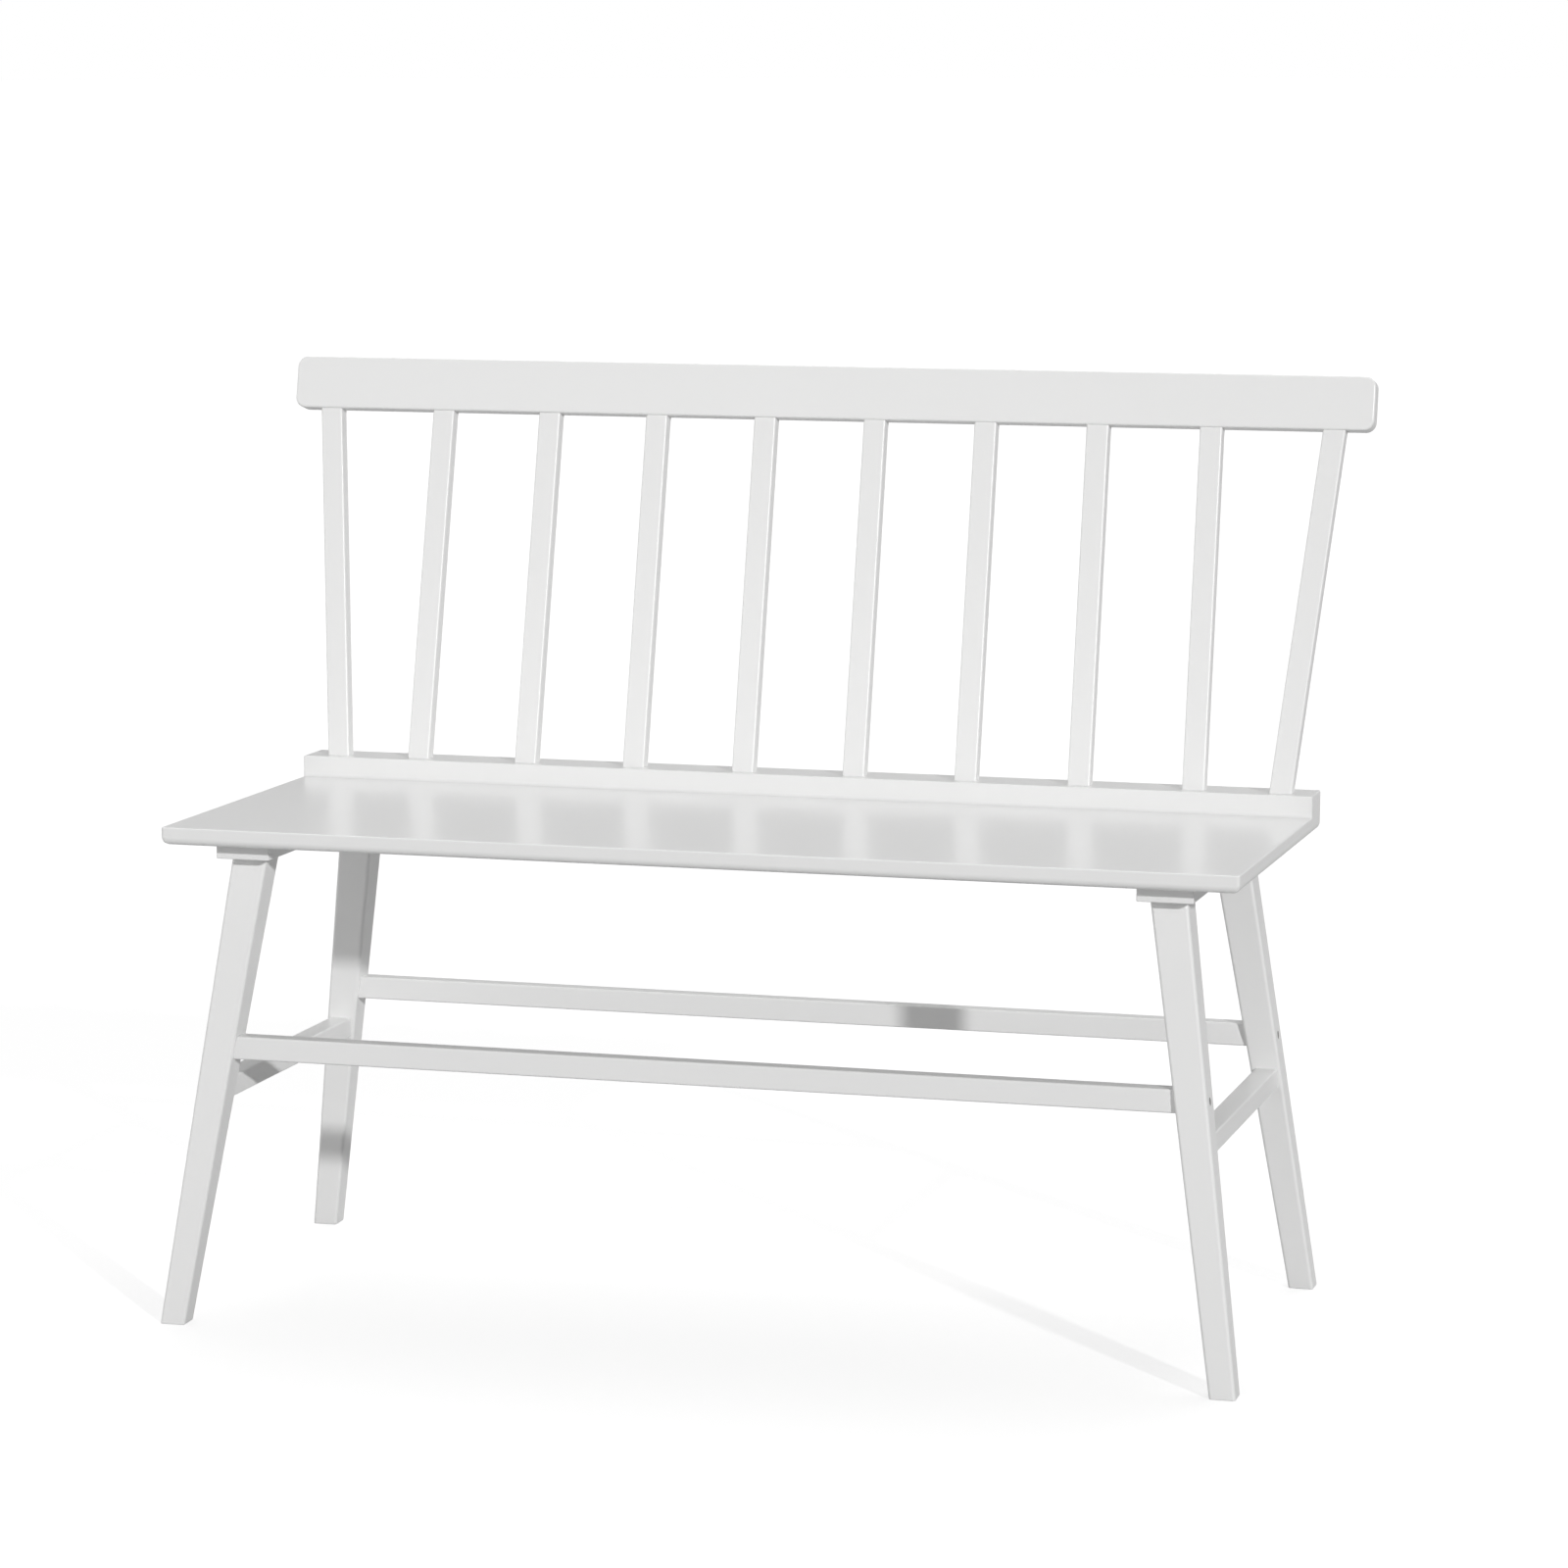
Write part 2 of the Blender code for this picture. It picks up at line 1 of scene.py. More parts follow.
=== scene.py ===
"""Looks of a slat-back dining bench in white satin paint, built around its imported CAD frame.

The bench has a raked seat board with a raised back ledge, ten slats under a straight top rail, and
four splayed, tapered legs tied by cleats, side stretchers and long stretchers. Lengths are in
metres. Two frames are used: the part frame, with its origin on the floor below the middle of the
bench, and the seat datum, which lies on the seat's top front edge and is tipped back by the rake.
"""

import logging
from dataclasses import dataclass
from enum import Enum
from math import cos, pi, radians, sin, tan
from typing import ClassVar, Optional, Self, Union

import bmesh
import bpy
from bmesh.types import BMEdge, BMesh, BMVert
from bpy.types import Material, Modifier, Node, NodeSocket, NodeTree, Object
from mathutils import Matrix, Vector

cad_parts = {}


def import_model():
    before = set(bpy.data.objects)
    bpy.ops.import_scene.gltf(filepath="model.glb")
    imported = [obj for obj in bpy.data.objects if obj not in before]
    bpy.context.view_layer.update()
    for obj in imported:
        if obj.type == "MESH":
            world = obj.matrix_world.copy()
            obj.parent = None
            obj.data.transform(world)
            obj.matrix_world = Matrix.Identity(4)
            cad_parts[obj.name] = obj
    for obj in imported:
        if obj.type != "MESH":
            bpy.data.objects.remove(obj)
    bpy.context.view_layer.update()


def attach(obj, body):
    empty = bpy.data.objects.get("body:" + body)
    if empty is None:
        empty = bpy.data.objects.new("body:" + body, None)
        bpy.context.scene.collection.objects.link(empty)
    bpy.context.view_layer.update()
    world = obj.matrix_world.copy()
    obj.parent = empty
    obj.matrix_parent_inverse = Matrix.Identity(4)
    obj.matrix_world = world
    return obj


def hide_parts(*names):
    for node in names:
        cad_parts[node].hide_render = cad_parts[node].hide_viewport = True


LOG = logging.getLogger("dining_bench")
BODY = "root"

# How far a block or a cutter runs past the face that trims it, the gap left where pieces meet, and
# the distance within which two points are one
OVERRUN = 0.03
SEAM = 0.00005
TINY = 0.00001

# Edges sharper than the first angle stay sharp, and directions within the second count as the same
SHARP_ANGLE = radians(32)
SAME_WAY = radians(25)

# Faces around a turned piece and around a hexagon socket, the profile of a bevel that is an arc,
# and the highest weight that the large faces of a rounding can have over its small ones
ROUND = 48
HEXAGON = 6
ARC = 0.5
LARGE_FACES_FIRST = 100

# Where a Mix node takes its two colours and gives their mix
MIX_COLOURS = (6, 7)
MIX_RESULT = 2

X_AXIS, Y_AXIS, Z_AXIS = Vector((1, 0, 0)), Vector((0, 1, 0)), Vector((0, 0, 1))


class Labelled(Enum):
    """One of a few named places or sides."""

    @property
    def label(self) -> str:
        """The name as it stands in the pieces' names."""
        return self.name.lower()


class Side(Labelled):
    """The two ends of the bench along X."""

    LEFT = -1
    RIGHT = 1


class End(Labelled):
    """Front and back along Y."""

    FRONT = -1
    BACK = 1


class Slot(Enum):
    """Material slots of the record."""

    PAINT = "painted_wood"
    BOLT = "bolt_steel"
    ZINC = "zinc_steel"


# Node graphs


@dataclass(frozen=True)
class Wire:
    """A value that runs through a node tree. Arithmetic on it adds nodes of its own kind."""

    graph: "Graph"
    socket: NodeSocket
    kind: ClassVar[str]

    def _math(self, operation: str, first: "Term", second: "Term" = 0.0) -> Self:
        """Add the node of one operation."""
        made = self.graph.node(self.kind, {0: first, 1: second}, operation=operation)
        return type(self)(self.graph, made.outputs[0])

    def __add__(self, other: "Term") -> Self:
        """Sum."""
        return self._math("ADD", self, other)

    def __radd__(self, other: "Term") -> Self:
        """Sum with a plain value on the left."""
        return self._math("ADD", other, self)

    def __sub__(self, other: "Term") -> Self:
        """Difference."""
        return self._math("SUBTRACT", self, other)

    def __rsub__(self, other: "Term") -> Self:
        """Difference from a plain value on the left."""
        return self._math("SUBTRACT", other, self)

    def __mul__(self, other: "Term") -> Self:
        """Product, part by part."""
        return self._math("MULTIPLY", self, other)

    def __rmul__(self, other: "Term") -> Self:
        """Product with a plain value on the left."""
        return self._math("MULTIPLY", other, self)

    def __truediv__(self, other: "Term") -> Self:
        """Quotient, part by part."""
        return self._math("DIVIDE", self, other)

    def __rtruediv__(self, other: "Term") -> Self:
        """Quotient of a plain value on the left."""
        return self._math("DIVIDE", other, self)


@dataclass(frozen=True)
class Number(Wire):
    """A number that runs through a node tree."""

    kind: ClassVar[str] = "ShaderNodeMath"

    def above(self, limit: "Term") -> "Number":
        """One where the number is above a limit, otherwise zero."""
        return self._math("GREATER_THAN", self, limit)

    def most(self, other: "Term") -> "Number":
        """The larger of two numbers."""
        return self._math("MAXIMUM", self, other)

    def remainder(self, other: "Term") -> "Number":
        """Remainder of a division."""
        return self._math("MODULO", self, other)

    def sign(self) -> "Number":
        """Minus one, zero or one."""
        return self._math("SIGN", self)

    def rounded_down(self) -> "Number":
        """Next lower whole number."""
        return self._math("FLOOR", self)


@dataclass(frozen=True)
class Triple(Wire):
    """A vector that runs through a node tree."""

    kind: ClassVar[str] = "ShaderNodeVectorMath"

    def unit(self) -> "Triple":
        """The vector at length one."""
        return self.graph.triple(self.kind, {0: self}, operation="NORMALIZE")

    def scaled(self, factor: "Term") -> "Triple":
        """The vector times one number."""
        return self.graph.triple(self.kind, {0: self, "Scale": factor}, operation="SCALE")

    def dot(self, other: "Term") -> Number:
        """Dot product."""
        return self.graph.number(self.kind, {0: self, 1: other}, "Value", operation="DOT_PRODUCT")


Term = Union[Number, Triple, float, int, bool, str, tuple, Vector, NodeSocket]


@dataclass(frozen=True)
class Graph:
    """Builds a node tree: every node comes from its node method."""

    tree: NodeTree

    def node(self, kind: str, sockets: Optional[dict] = None, **settings: object) -> Node:
        """Add a node.

        Args:
            kind: The node's type.
            sockets: Values or links by the inputs' names or numbers.
            settings: The node's own properties, which are set first.

        Returns:
            The new node.
        """
        made = self.tree.nodes.new(kind)
        for key, value in settings.items():
            setattr(made, key, value)
        for key, value in (sockets or {}).items():
            self.feed(made.inputs[key], value)
        return made

    def feed(self, socket: NodeSocket, value: Term) -> None:
        """Link a socket, or set its value.

        Args:
            socket: The input.
            value: A link from another node, or a plain value.
        """
        source = value.socket if isinstance(value, Wire) else value
        if isinstance(source, NodeSocket):
            self.tree.links.new(source, socket)
        else:
            socket.default_value = source

    def link(self, kind: str, sockets: Optional[dict] = None, **settings: object) -> NodeSocket:
        """Add a node and take its first output as it is."""
        return self.node(kind, sockets, **settings).outputs[0]

    def number(self, kind: str, sockets: Optional[dict] = None, output: Union[str, int] = 0,
               **settings: object) -> Number:
        """Add a node and take one output as a number."""
        return Number(self, self.node(kind, sockets, **settings).outputs[output])

    def triple(self, kind: str, sockets: Optional[dict] = None, output: Union[str, int] = 0,
               **settings: object) -> Triple:
        """Add a node and take one output as a vector."""
        return Triple(self, self.node(kind, sockets, **settings).outputs[output])

    def joined(self, x: Term, y: Term, z: Term) -> Triple:
        """A vector from three numbers."""
        return self.triple("ShaderNodeCombineXYZ", {0: x, 1: y, 2: z})

    def noise(self, place: Term, scale: float, detail: float) -> Number:
        """Noise of about 0 to 1, with its waves to a metre and its octaves."""
        sockets = {"Vector": place, "Scale": scale, "Detail": detail}
        return self.number("ShaderNodeTexNoise", sockets, "Fac")

    def between(self, share: Term, first: Term, second: Term) -> Triple:
        """Mix two colours.

        Args:
            share: Share of the second colour.
            first: A plain colour, or a link.
            second: The same.

        Returns:
            The colour.
        """
        sockets = {0: share}
        for place, colour in zip(MIX_COLOURS, (first, second)):
            sockets[place] = (*colour, 1.0) if isinstance(colour, tuple) else colour
        return self.triple("ShaderNodeMix", sockets, MIX_RESULT, data_type="RGBA")

    def bump(self, height: Term) -> Triple:
        """Normal of a surface raised by a height in metres."""
        return self.triple("ShaderNodeBump", {"Strength": 1.0, "Distance": 1.0, "Height": height})


# Finishes


@dataclass(frozen=True)
class Surface(Graph):
    """A new material, as the graph that feeds its Principled node."""

    material: Material

    @classmethod
    def named(cls, name: str) -> Self:
        """Start a material.

        Args:
            name: The material's name.

        Returns:
            Its surface.
        """
        material = bpy.data.materials.new(name)
        material.use_nodes = True
        return cls(material.node_tree, material)

    def shade(self, sockets: dict) -> Material:
        """Feed the Principled node.

        Args:
            sockets: Values or links by the names of its inputs.

        Returns:
            The finished material.
        """
        for name, value in sockets.items():
            self.feed(self.tree.nodes["Principled BSDF"].inputs[name], value)
        return self.material


@dataclass(frozen=True)
class Well:
    """A hole drilled along X, whose wall is coloured darker than the paint: painted shade for the
    inside of the hole.
    """

    axis: Vector
    radius: float
    # Dark grey of the hole's wall: painted shade, not the wall's own colour
    bare: tuple = (0.34, 0.335, 0.325)

    def darken(self, graph: Graph, coordinates: Triple, colour: Triple) -> Triple:
        """Colour of a painted surface with painted shade on the hole's wall."""
        away = (coordinates - self.axis) * (Y_AXIS + Z_AXIS)
        return graph.between(away.dot(away).above(self.radius ** 2), self.bare, colour)


@dataclass(frozen=True)
class SatinPaint:
    """Sprayed white satin paint over planed hardwood.

    The spray leaves a fine orange peel, the wood's fibres telegraph very faintly along the grain,
    and the gloss changes a little where the coat is thicker. Each noise is given by its waves to a
    metre and its octaves.
    """

    light: tuple = (0.846, 0.846, 0.842)
    dull: tuple = (0.834, 0.834, 0.830)
    roughness: float = 0.285
    roughness_change: float = 0.02
    cloud_noise: tuple = (9.0, 3.0)
    peel_noise: tuple = (330.0, 1.0)
    peel_height: float = 0.0000008
    fibre_noise: tuple = (1.0, 1.0)
    fibre_stretch: tuple = (5.0, 140.0, 140.0)
    fibre_height: float = 0.0000015
    ripple_noise: tuple = (45.0, 2.0)
    ripple_height: float = 0.000002

    def material(self, name: str, grain: Vector, shift: float = 0.0,
                 well: Optional[Well] = None) -> Material:
        """Make the paint for one piece.

        Args:
            name: The piece's name.
            grain: Direction of the wood's grain.
            shift: Offset that keeps two pieces from sharing one pattern.
            well: A drilled hole in the piece, whose wall gets painted shade.

        Returns:
            The material.
        """
        surface = Surface.named("satin_paint_" + name)
        turn = grain.normalized().rotation_difference(X_AXIS).to_euler()
        coordinates = surface.triple("ShaderNodeTexCoord", output="Object")
        place = surface.triple("ShaderNodeMapping", {
            "Vector": coordinates, "Location": (shift, 2 * shift, -shift), "Rotation": turn},
            vector_type="POINT")
        cloud = surface.noise(place, *self.cloud_noise)
        peel = surface.noise(place, *self.peel_noise)
        ripple = surface.noise(place, *self.ripple_noise)
        fibre = surface.noise(place * self.fibre_stretch, *self.fibre_noise)
        height = peel * self.peel_height + fibre * self.fibre_height + ripple * self.ripple_height
        colour = surface.between(cloud, self.light, self.dull)
        # Inside the hole the base colour turns dark grey: painted shade
        return surface.shade({
            "Base Color": well.darken(surface, coordinates, colour) if well else colour,
            "Roughness": self.roughness + (cloud - 0.5) * self.roughness_change,
            "Normal": surface.bump(height)})


@dataclass(frozen=True)
class PlatedSteel:
    """Turned steel with a thin plating: fine turning marks and a slightly cloudy gloss."""

    slot: Slot
    bright: tuple
    dark: tuple
    roughness: float
    roughness_change: float = 0.2
    cloud_noise: tuple = (300.0, 3.0)
    mark_noise: tuple = (2600.0, 1.0)
    mark_height: float = 0.000004

    def material(self, name: str) -> Material:
        """Make the plating.

        Args:
            name: The finish's name.

        Returns:
            The material.
        """
        surface = Surface.named(name)
        place = surface.triple("ShaderNodeTexCoord", output="Object")
        cloud = surface.noise(place, *self.cloud_noise)
        marks = surface.noise(place, *self.mark_noise)
        return surface.shade({
            "Metallic": 1.0, "Base Color": surface.between(cloud, self.bright, self.dark),
            "Roughness": self.roughness + (cloud - 0.5) * self.roughness_change,
            "Normal": surface.bump(marks * self.mark_height)})


BLACKENED = PlatedSteel(Slot.BOLT, bright=(0.46, 0.46, 0.47), dark=(0.36, 0.36, 0.37),
                        roughness=0.35)
ZINC = PlatedSteel(Slot.ZINC, bright=(0.66, 0.66, 0.63), dark=(0.52, 0.52, 0.51), roughness=0.38)


# Stock: what pieces are cut from


@dataclass(frozen=True)
class Rounding:
    """How an edge is rounded: its radius, and the faces across it."""

    radius: float
    segments: int


@dataclass(frozen=True)
class Stock:
    """A solid that is cut to shape as an edit mesh."""

    mesh: BMesh

    @classmethod
    def block(cls, size: tuple, centre: tuple = (0, 0, 0)) -> Self:
        """A box.

        Args:
            size: Lengths along X, Y and Z.
            centre: Its middle.

        Returns:
            The stock.
        """
        mesh = bmesh.new()
        place = Matrix.Translation(centre) @ Matrix.Diagonal((*size, 1))
        bmesh.ops.create_cube(mesh, size=1, matrix=place)
        return cls(mesh)

    @classmethod
    def turned(cls, profile: list[tuple[float, float]], segments: int = ROUND) -> Self:
        """A solid turned about Z.

        Args:
            profile: Radius and height of each ring. The ends lie on the axis, or get a cap.
            segments: Faces around.

        Returns:
            The stock.
        """
        mesh = bmesh.new()
        rings = []
        for radius, height in profile:
            turns = [2 * pi * index / segments for index in range(1 if radius < TINY else segments)]
            rings.append([mesh.verts.new((radius * cos(turn), radius * sin(turn), height))
                          for turn in turns])
        for lower, upper in zip(rings, rings[1:]):
            for index in range(segments):
                pair = (index, (index + 1) % segments)
                corners = [lower[place % len(lower)] for place in pair]
                corners += [upper[place % len(upper)] for place in reversed(pair)]
                mesh.faces.new(list(dict.fromkeys(corners)))
        for ring in (rings[0], rings[-1]):
            if len(ring) > 1:
                mesh.faces.new(ring)
        return cls(mesh)

    @classmethod
    def rod(cls, diameter: float, start: float, end: float) -> Self:
        """A cylinder along Z between two heights."""
        return cls.turned([(diameter / 2, start), (diameter / 2, end)])

    @property
    def everything(self) -> list:
        """Its vertices, edges and faces."""
        return self.mesh.verts[:] + self.mesh.edges[:] + self.mesh.faces[:]

    def edges_along(self, axis: Vector) -> list[BMEdge]:
        """Edges that run mostly along an axis, which is a unit vector."""
        ways = [(edge, edge.verts[1].co - edge.verts[0].co) for edge in self.mesh.edges]
        return [edge for edge, way in ways if abs(way.normalized().dot(axis)) > cos(SAME_WAY)]

    def round(self, edges: list[BMEdge], rounding: Rounding) -> None:
        """Round some edges."""
        bmesh.ops.bevel(self.mesh, geom=edges, offset=rounding.radius, offset_type="OFFSET",
                        segments=rounding.segments, profile=ARC, affect="EDGES")

    def trim(self, point: Vector, normal: Vector) -> None:
        """Cut off what lies beyond a plane and close the cut.

        Args:
            point: A point of the plane.
            normal: Points to the side that is cut off.
        """
        cut = bmesh.ops.bisect_plane(self.mesh, geom=self.everything, plane_co=point,
                                     plane_no=normal, clear_outer=True)["geom_cut"]
        bmesh.ops.holes_fill(self.mesh, edges=[item for item in cut if isinstance(item, BMEdge)])

    def piece(self, name: str, place: Optional[Matrix] = None) -> Object:
        """Turn the stock into an object at the origin, with its place in its mesh.

        Args:
            name: The object's name.
            place: Where the mesh goes.

        Returns:
            The object.
        """
        mesh = bpy.data.meshes.new(name)
        bmesh.ops.recalc_face_normals(self.mesh, faces=self.mesh.faces[:])
        self.mesh.to_mesh(mesh)
        self.mesh.free()
        mesh.transform(place or Matrix.Identity(4))
        return linked(name, mesh)


def linked(name: str, data: bpy.types.ID) -> Object:
    """Put an object with some data into the scene.

    Args:
        name: The object's name.
        data: Its mesh, lamp or camera.

    Returns:
        The object.
    """
    made = bpy.data.objects.new(name, data)
    bpy.context.scene.collection.objects.link(made)
    return made


def modify(piece: Object, kind: str, **settings: object) -> Modifier:
    """Give a piece a modifier.

    Args:
        piece: The piece.
        kind: The modifier's type.
        settings: Its settings.

    Returns:
        The modifier.
    """
    modifier = piece.modifiers.new(kind, kind)
    for key, value in settings.items():
        setattr(modifier, key, value)
    return modifier


def settle(piece: Object) -> None:
    """Turn what a piece's modifiers make into its own plain mesh, and remove them.

    Args:
        piece: The piece.
    """
    bpy.context.view_layer.update()
    evaluated = piece.evaluated_get(bpy.context.evaluated_depsgraph_get())
    mesh = bpy.data.meshes.new_from_object(evaluated)
    mesh.name = piece.name
    piece.modifiers.clear()
    piece.data = mesh


def carve(piece: Object, cutters: list[Object]) -> None:
    """Cut a piece with cutters, and remove them.

    Args:
        piece: The piece.
        cutters: The cutters.
    """
    for cutter in cutters:
        modify(piece, "BOOLEAN", operation="DIFFERENCE", solver="EXACT", object=cutter)
    settle(piece)
    for cutter in cutters:
        bpy.data.objects.remove(cutter)


# Plan: the sizes that several sub-assemblies share


@dataclass(frozen=True)
class BenchPlan:
    """Shared sizes of the bench and its two frames."""

    middle_y: float = 0.244469
    seat_front_height: float = 0.4653
    seat_rake: float = radians(1.2)
    seat_half_length: float = 0.5
    seat_depth: float = 0.429
    seat_thickness: float = 0.0163
    ledge_depth: float = 0.050
    ledge_height: float = 0.0205
    back_lean: float = radians(12.4)
    slat_setback: float = 0.011
    slat_thickness: float = 0.0154
    slat_length: float = 0.3432
    fit_gap: float = 0.0003
    cleat_x: float = 0.4297
    cleat_front: float = 0.025
    cleat_back: float = 0.392
    cleat_thickness: float = 0.014
    leg_cleat_inset: float = 0.0356
    leg_top_size: tuple = (0.0338, 0.0350)
    leg_foot_size: tuple = (0.0240, 0.0245)
    leg_side_splay: float = radians(8.3)
    leg_front_splay: float = radians(7.75)

    @property
    def datum(self) -> Matrix:
        """Seat datum to part frame."""
        place = Matrix.Translation((0, -self.middle_y, self.seat_front_height))
        return place @ Matrix.Rotation(-self.seat_rake, 4, "X")

    @property
    def to_seat(self) -> Matrix:
        """Part frame to seat datum."""
        return self.datum.inverted()

    @property
    def ledge_front(self) -> float:
        """Front face of the ledge, in the seat datum."""
        return self.seat_depth - self.ledge_depth

    @property
    def back_up(self) -> Vector:
        """Direction of the leaning back, in the seat datum."""
        return Vector((0, sin(self.back_lean), cos(self.back_lean)))

    @property
    def slat_foot(self) -> Vector:
        """Middle of the slat row on the ledge, in the seat datum."""
        in_from_front = self.slat_setback + self.slat_thickness / 2 / cos(self.back_lean)
        return Vector((0, self.ledge_front + in_from_front, self.ledge_height))

    @property
    def rail_under(self) -> Vector:
        """Middle of the rail's underside, in the seat datum."""
        return self.slat_foot + self.back_up * self.slat_length

    @property
    def cleat_under(self) -> float:
        """Height of the cleats' underside, in the seat datum."""
        return -self.seat_thickness - self.fit_gap - self.cleat_thickness


@dataclass(frozen=True)
class Leg:
    """Where one leg stands and where its faces lie, for what is fitted to it."""

    plan: BenchPlan
    side: Side
    end: End

    @property
    def foot(self) -> Vector:
        """Centre of the foot on the floor, in the part frame. The four feet mirror one another.

        Returns:
            The point.
        """
        plan = self.plan
        inset_y = plan.cleat_front + plan.leg_cleat_inset
        middle_y = (plan.cleat_front + plan.cleat_back) / 2
        front_top = plan.datum @ Vector((plan.cleat_x, inset_y, plan.cleat_under))
        middle = plan.datum @ Vector((0, middle_y, plan.cleat_under))
        out_x = front_top.x + front_top.z * tan(plan.leg_side_splay)
        out_y = middle.y - front_top.y + front_top.z * tan(plan.leg_front_splay)
        return Vector((self.side.value * out_x, middle.y + self.end.value * out_y, 0))

    @property
    def top(self) -> Vector:
        """Centre of the leg where it meets its cleat, in the part frame."""
        return self.plan.datum @ self.axis_at(self.plan.cleat_under - self.plan.fit_gap)

    def axis_at(self, height: float) -> Vector:
        """Point of the leg's axis at a height, both in the seat datum.

        Args:
            height: Height above the seat's top face, so below the seat it is negative.

        Returns:
            The point.
        """
        to_seat = self.plan.to_seat
        rise = Vector((-self.side.value * tan(self.plan.leg_side_splay),
                       -self.end.value * tan(self.plan.leg_front_splay), 1))
        foot, rise = to_seat @ self.foot, to_seat.to_3x3() @ rise
        return foot + rise * ((height - foot.z) / rise.z)

    def face(self, outward: Vector) -> tuple[Vector, Vector]:
        """Plane of one face, in the part frame.

        Args:
            outward: Rough direction of the face: a signed X or Y axis.

        Returns:
            A point of the plane and its unit normal, away from the leg.
        """
        axis, edge_axis = (0, Y_AXIS) if abs(outward.x) > abs(outward.y) else (1, X_AXIS)
        on_top = self.top + outward * (self.plan.leg_top_size[axis] / 2)
        on_foot = self.foot + outward * (self.plan.leg_foot_size[axis] / 2)
        normal = (on_top - on_foot).cross(edge_axis).normalized()
        return on_foot, normal if normal.dot(outward) > 0 else -normal

    def meet(self, outward: Vector, near: Vector) -> Vector:
        """Where a line along a face's rough direction meets the face, in the seat datum.

        Args:
            outward: Rough direction of the face.
            near: A point of the line.

        Returns:
            The point.
        """
        to_seat = self.plan.to_seat
        point, normal = self.face(outward)
        point, normal = to_seat @ point, to_seat.to_3x3() @ normal
        return near + outward * ((point - near).dot(normal) / outward.dot(normal))

    def trim(self, stock: Stock, outward: Vector) -> None:
        """Trim a bar, modelled in the seat datum, to the face that looks a way.

        Args:
            stock: The bar.
            outward: Rough direction of the face.
        """
        to_seat = self.plan.to_seat
        point, normal = self.face(outward)
        stock.trim(to_seat @ (point + normal * SEAM), -(to_seat.to_3x3() @ normal))


@dataclass
class SubAssembly:
    """Something that the bench is put together from. It reports each piece that it finishes."""

    plan: BenchPlan

    def dress(self, piece: Object, material: Material, nodes: list[str],
              slot: Slot = Slot.PAINT) -> None:
        """Give a piece its finish and its place in the frame.

        The roundings are shaded smooth, while flats stay flat and real corners stay sharp.

        Args:
            piece: The finished mesh object.
            material: Its finish.
            nodes: The CAD nodes that it stands for.
            slot: The record's material slot.
        """
        piece.data.shade_smooth()
        piece.data.set_sharp_from_angle(angle=SHARP_ANGLE)
        modify(piece, "WEIGHTED_NORMAL", keep_sharp=True, weight=LARGE_FACES_FIRST)
        settle(piece)
        piece.data.materials.clear()
        piece.data.materials.append(material)
        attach(piece, BODY)
        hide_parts(*nodes)
        LOG.info("%s: %d faces, %s, for %s",
                 piece.name, len(piece.data.polygons), slot.value, ", ".join(nodes))


@dataclass
class Woodwork(SubAssembly):
    """A sub-assembly of painted wood."""

    paint: SatinPaint


# Seat and back


@dataclass
class SeatBoard(Woodwork):
    """Seat board with its raised ledge, rounded more below than above."""

    lower_radius: float = 0.007
    upper_radius: float = 0.0014
    corner_radius: float = 0.0035
    fillet: float = 0.003
    segments: int = 10
    flat_within: float = radians(1)

    def edge_radius(self, edge: BMEdge) -> float:
        """Radius of one edge of the sharp board.

        Args:
            edge: The edge, told by where it lies.

        Returns:
            The radius.
        """
        plan = self.plan
        low, high = sorted(vert.co.z for vert in edge.verts)
        middle_y = (edge.verts[0].co.y + edge.verts[1].co.y) / 2
        on_ledge_front = abs(middle_y - plan.ledge_front) < TINY
        if high - low > plan.seat_thickness / 2:
            return self.upper_radius if on_ledge_front else self.corner_radius
        if high < -plan.seat_thickness / 2:
            return self.lower_radius
        in_corner = on_ledge_front and high < plan.ledge_height / 2
        return self.fillet if in_corner else self.upper_radius

    def sharp_board(self) -> Stock:
        """Make the board with sharp edges.

        Returns:
            The stock, in the seat datum.
        """
        plan = self.plan
        stock = Stock.block((2 * plan.seat_half_length, plan.seat_depth, plan.seat_thickness),
                            (0, plan.seat_depth / 2, -plan.seat_thickness / 2))
        mesh = stock.mesh
        bmesh.ops.bisect_plane(mesh, geom=stock.everything, plane_co=(0, plan.ledge_front, 0),
                               plane_no=Y_AXIS)
        ledge = [face for face in mesh.faces if face.normal.z > cos(SAME_WAY)
                 and face.calc_center_median().y > plan.ledge_front]
        raised = bmesh.ops.extrude_face_region(mesh, geom=ledge)["geom"]
        lifted = [item for item in raised if isinstance(item, BMVert)]
        bmesh.ops.translate(mesh, verts=lifted, vec=(0, 0, plan.ledge_height))
        bmesh.ops.delete(mesh, geom=[face for face in ledge if face.is_valid], context="FACES")
        bmesh.ops.dissolve_limit(mesh, angle_limit=self.flat_within, verts=mesh.verts[:],
                                 edges=mesh.edges[:])
        bmesh.ops.recalc_face_normals(mesh, faces=mesh.faces[:])
        return stock

    def build(self) -> None:
        """Build and dress the board."""
        stock = self.sharp_board()
        largest = max(self.lower_radius, self.upper_radius, self.corner_radius, self.fillet)
        weights = stock.mesh.edges.layers.float.new("bevel_weight_edge")
        for edge in stock.mesh.edges:
            edge[weights] = self.edge_radius(edge) / largest
        board = stock.piece("bench_seat", self.plan.datum)
        modify(board, "BEVEL", limit_method="WEIGHT", width=largest, segments=self.segments)
        settle(board)
        self.dress(board, self.paint.material("seat", X_AXIS), ["seat_board"])


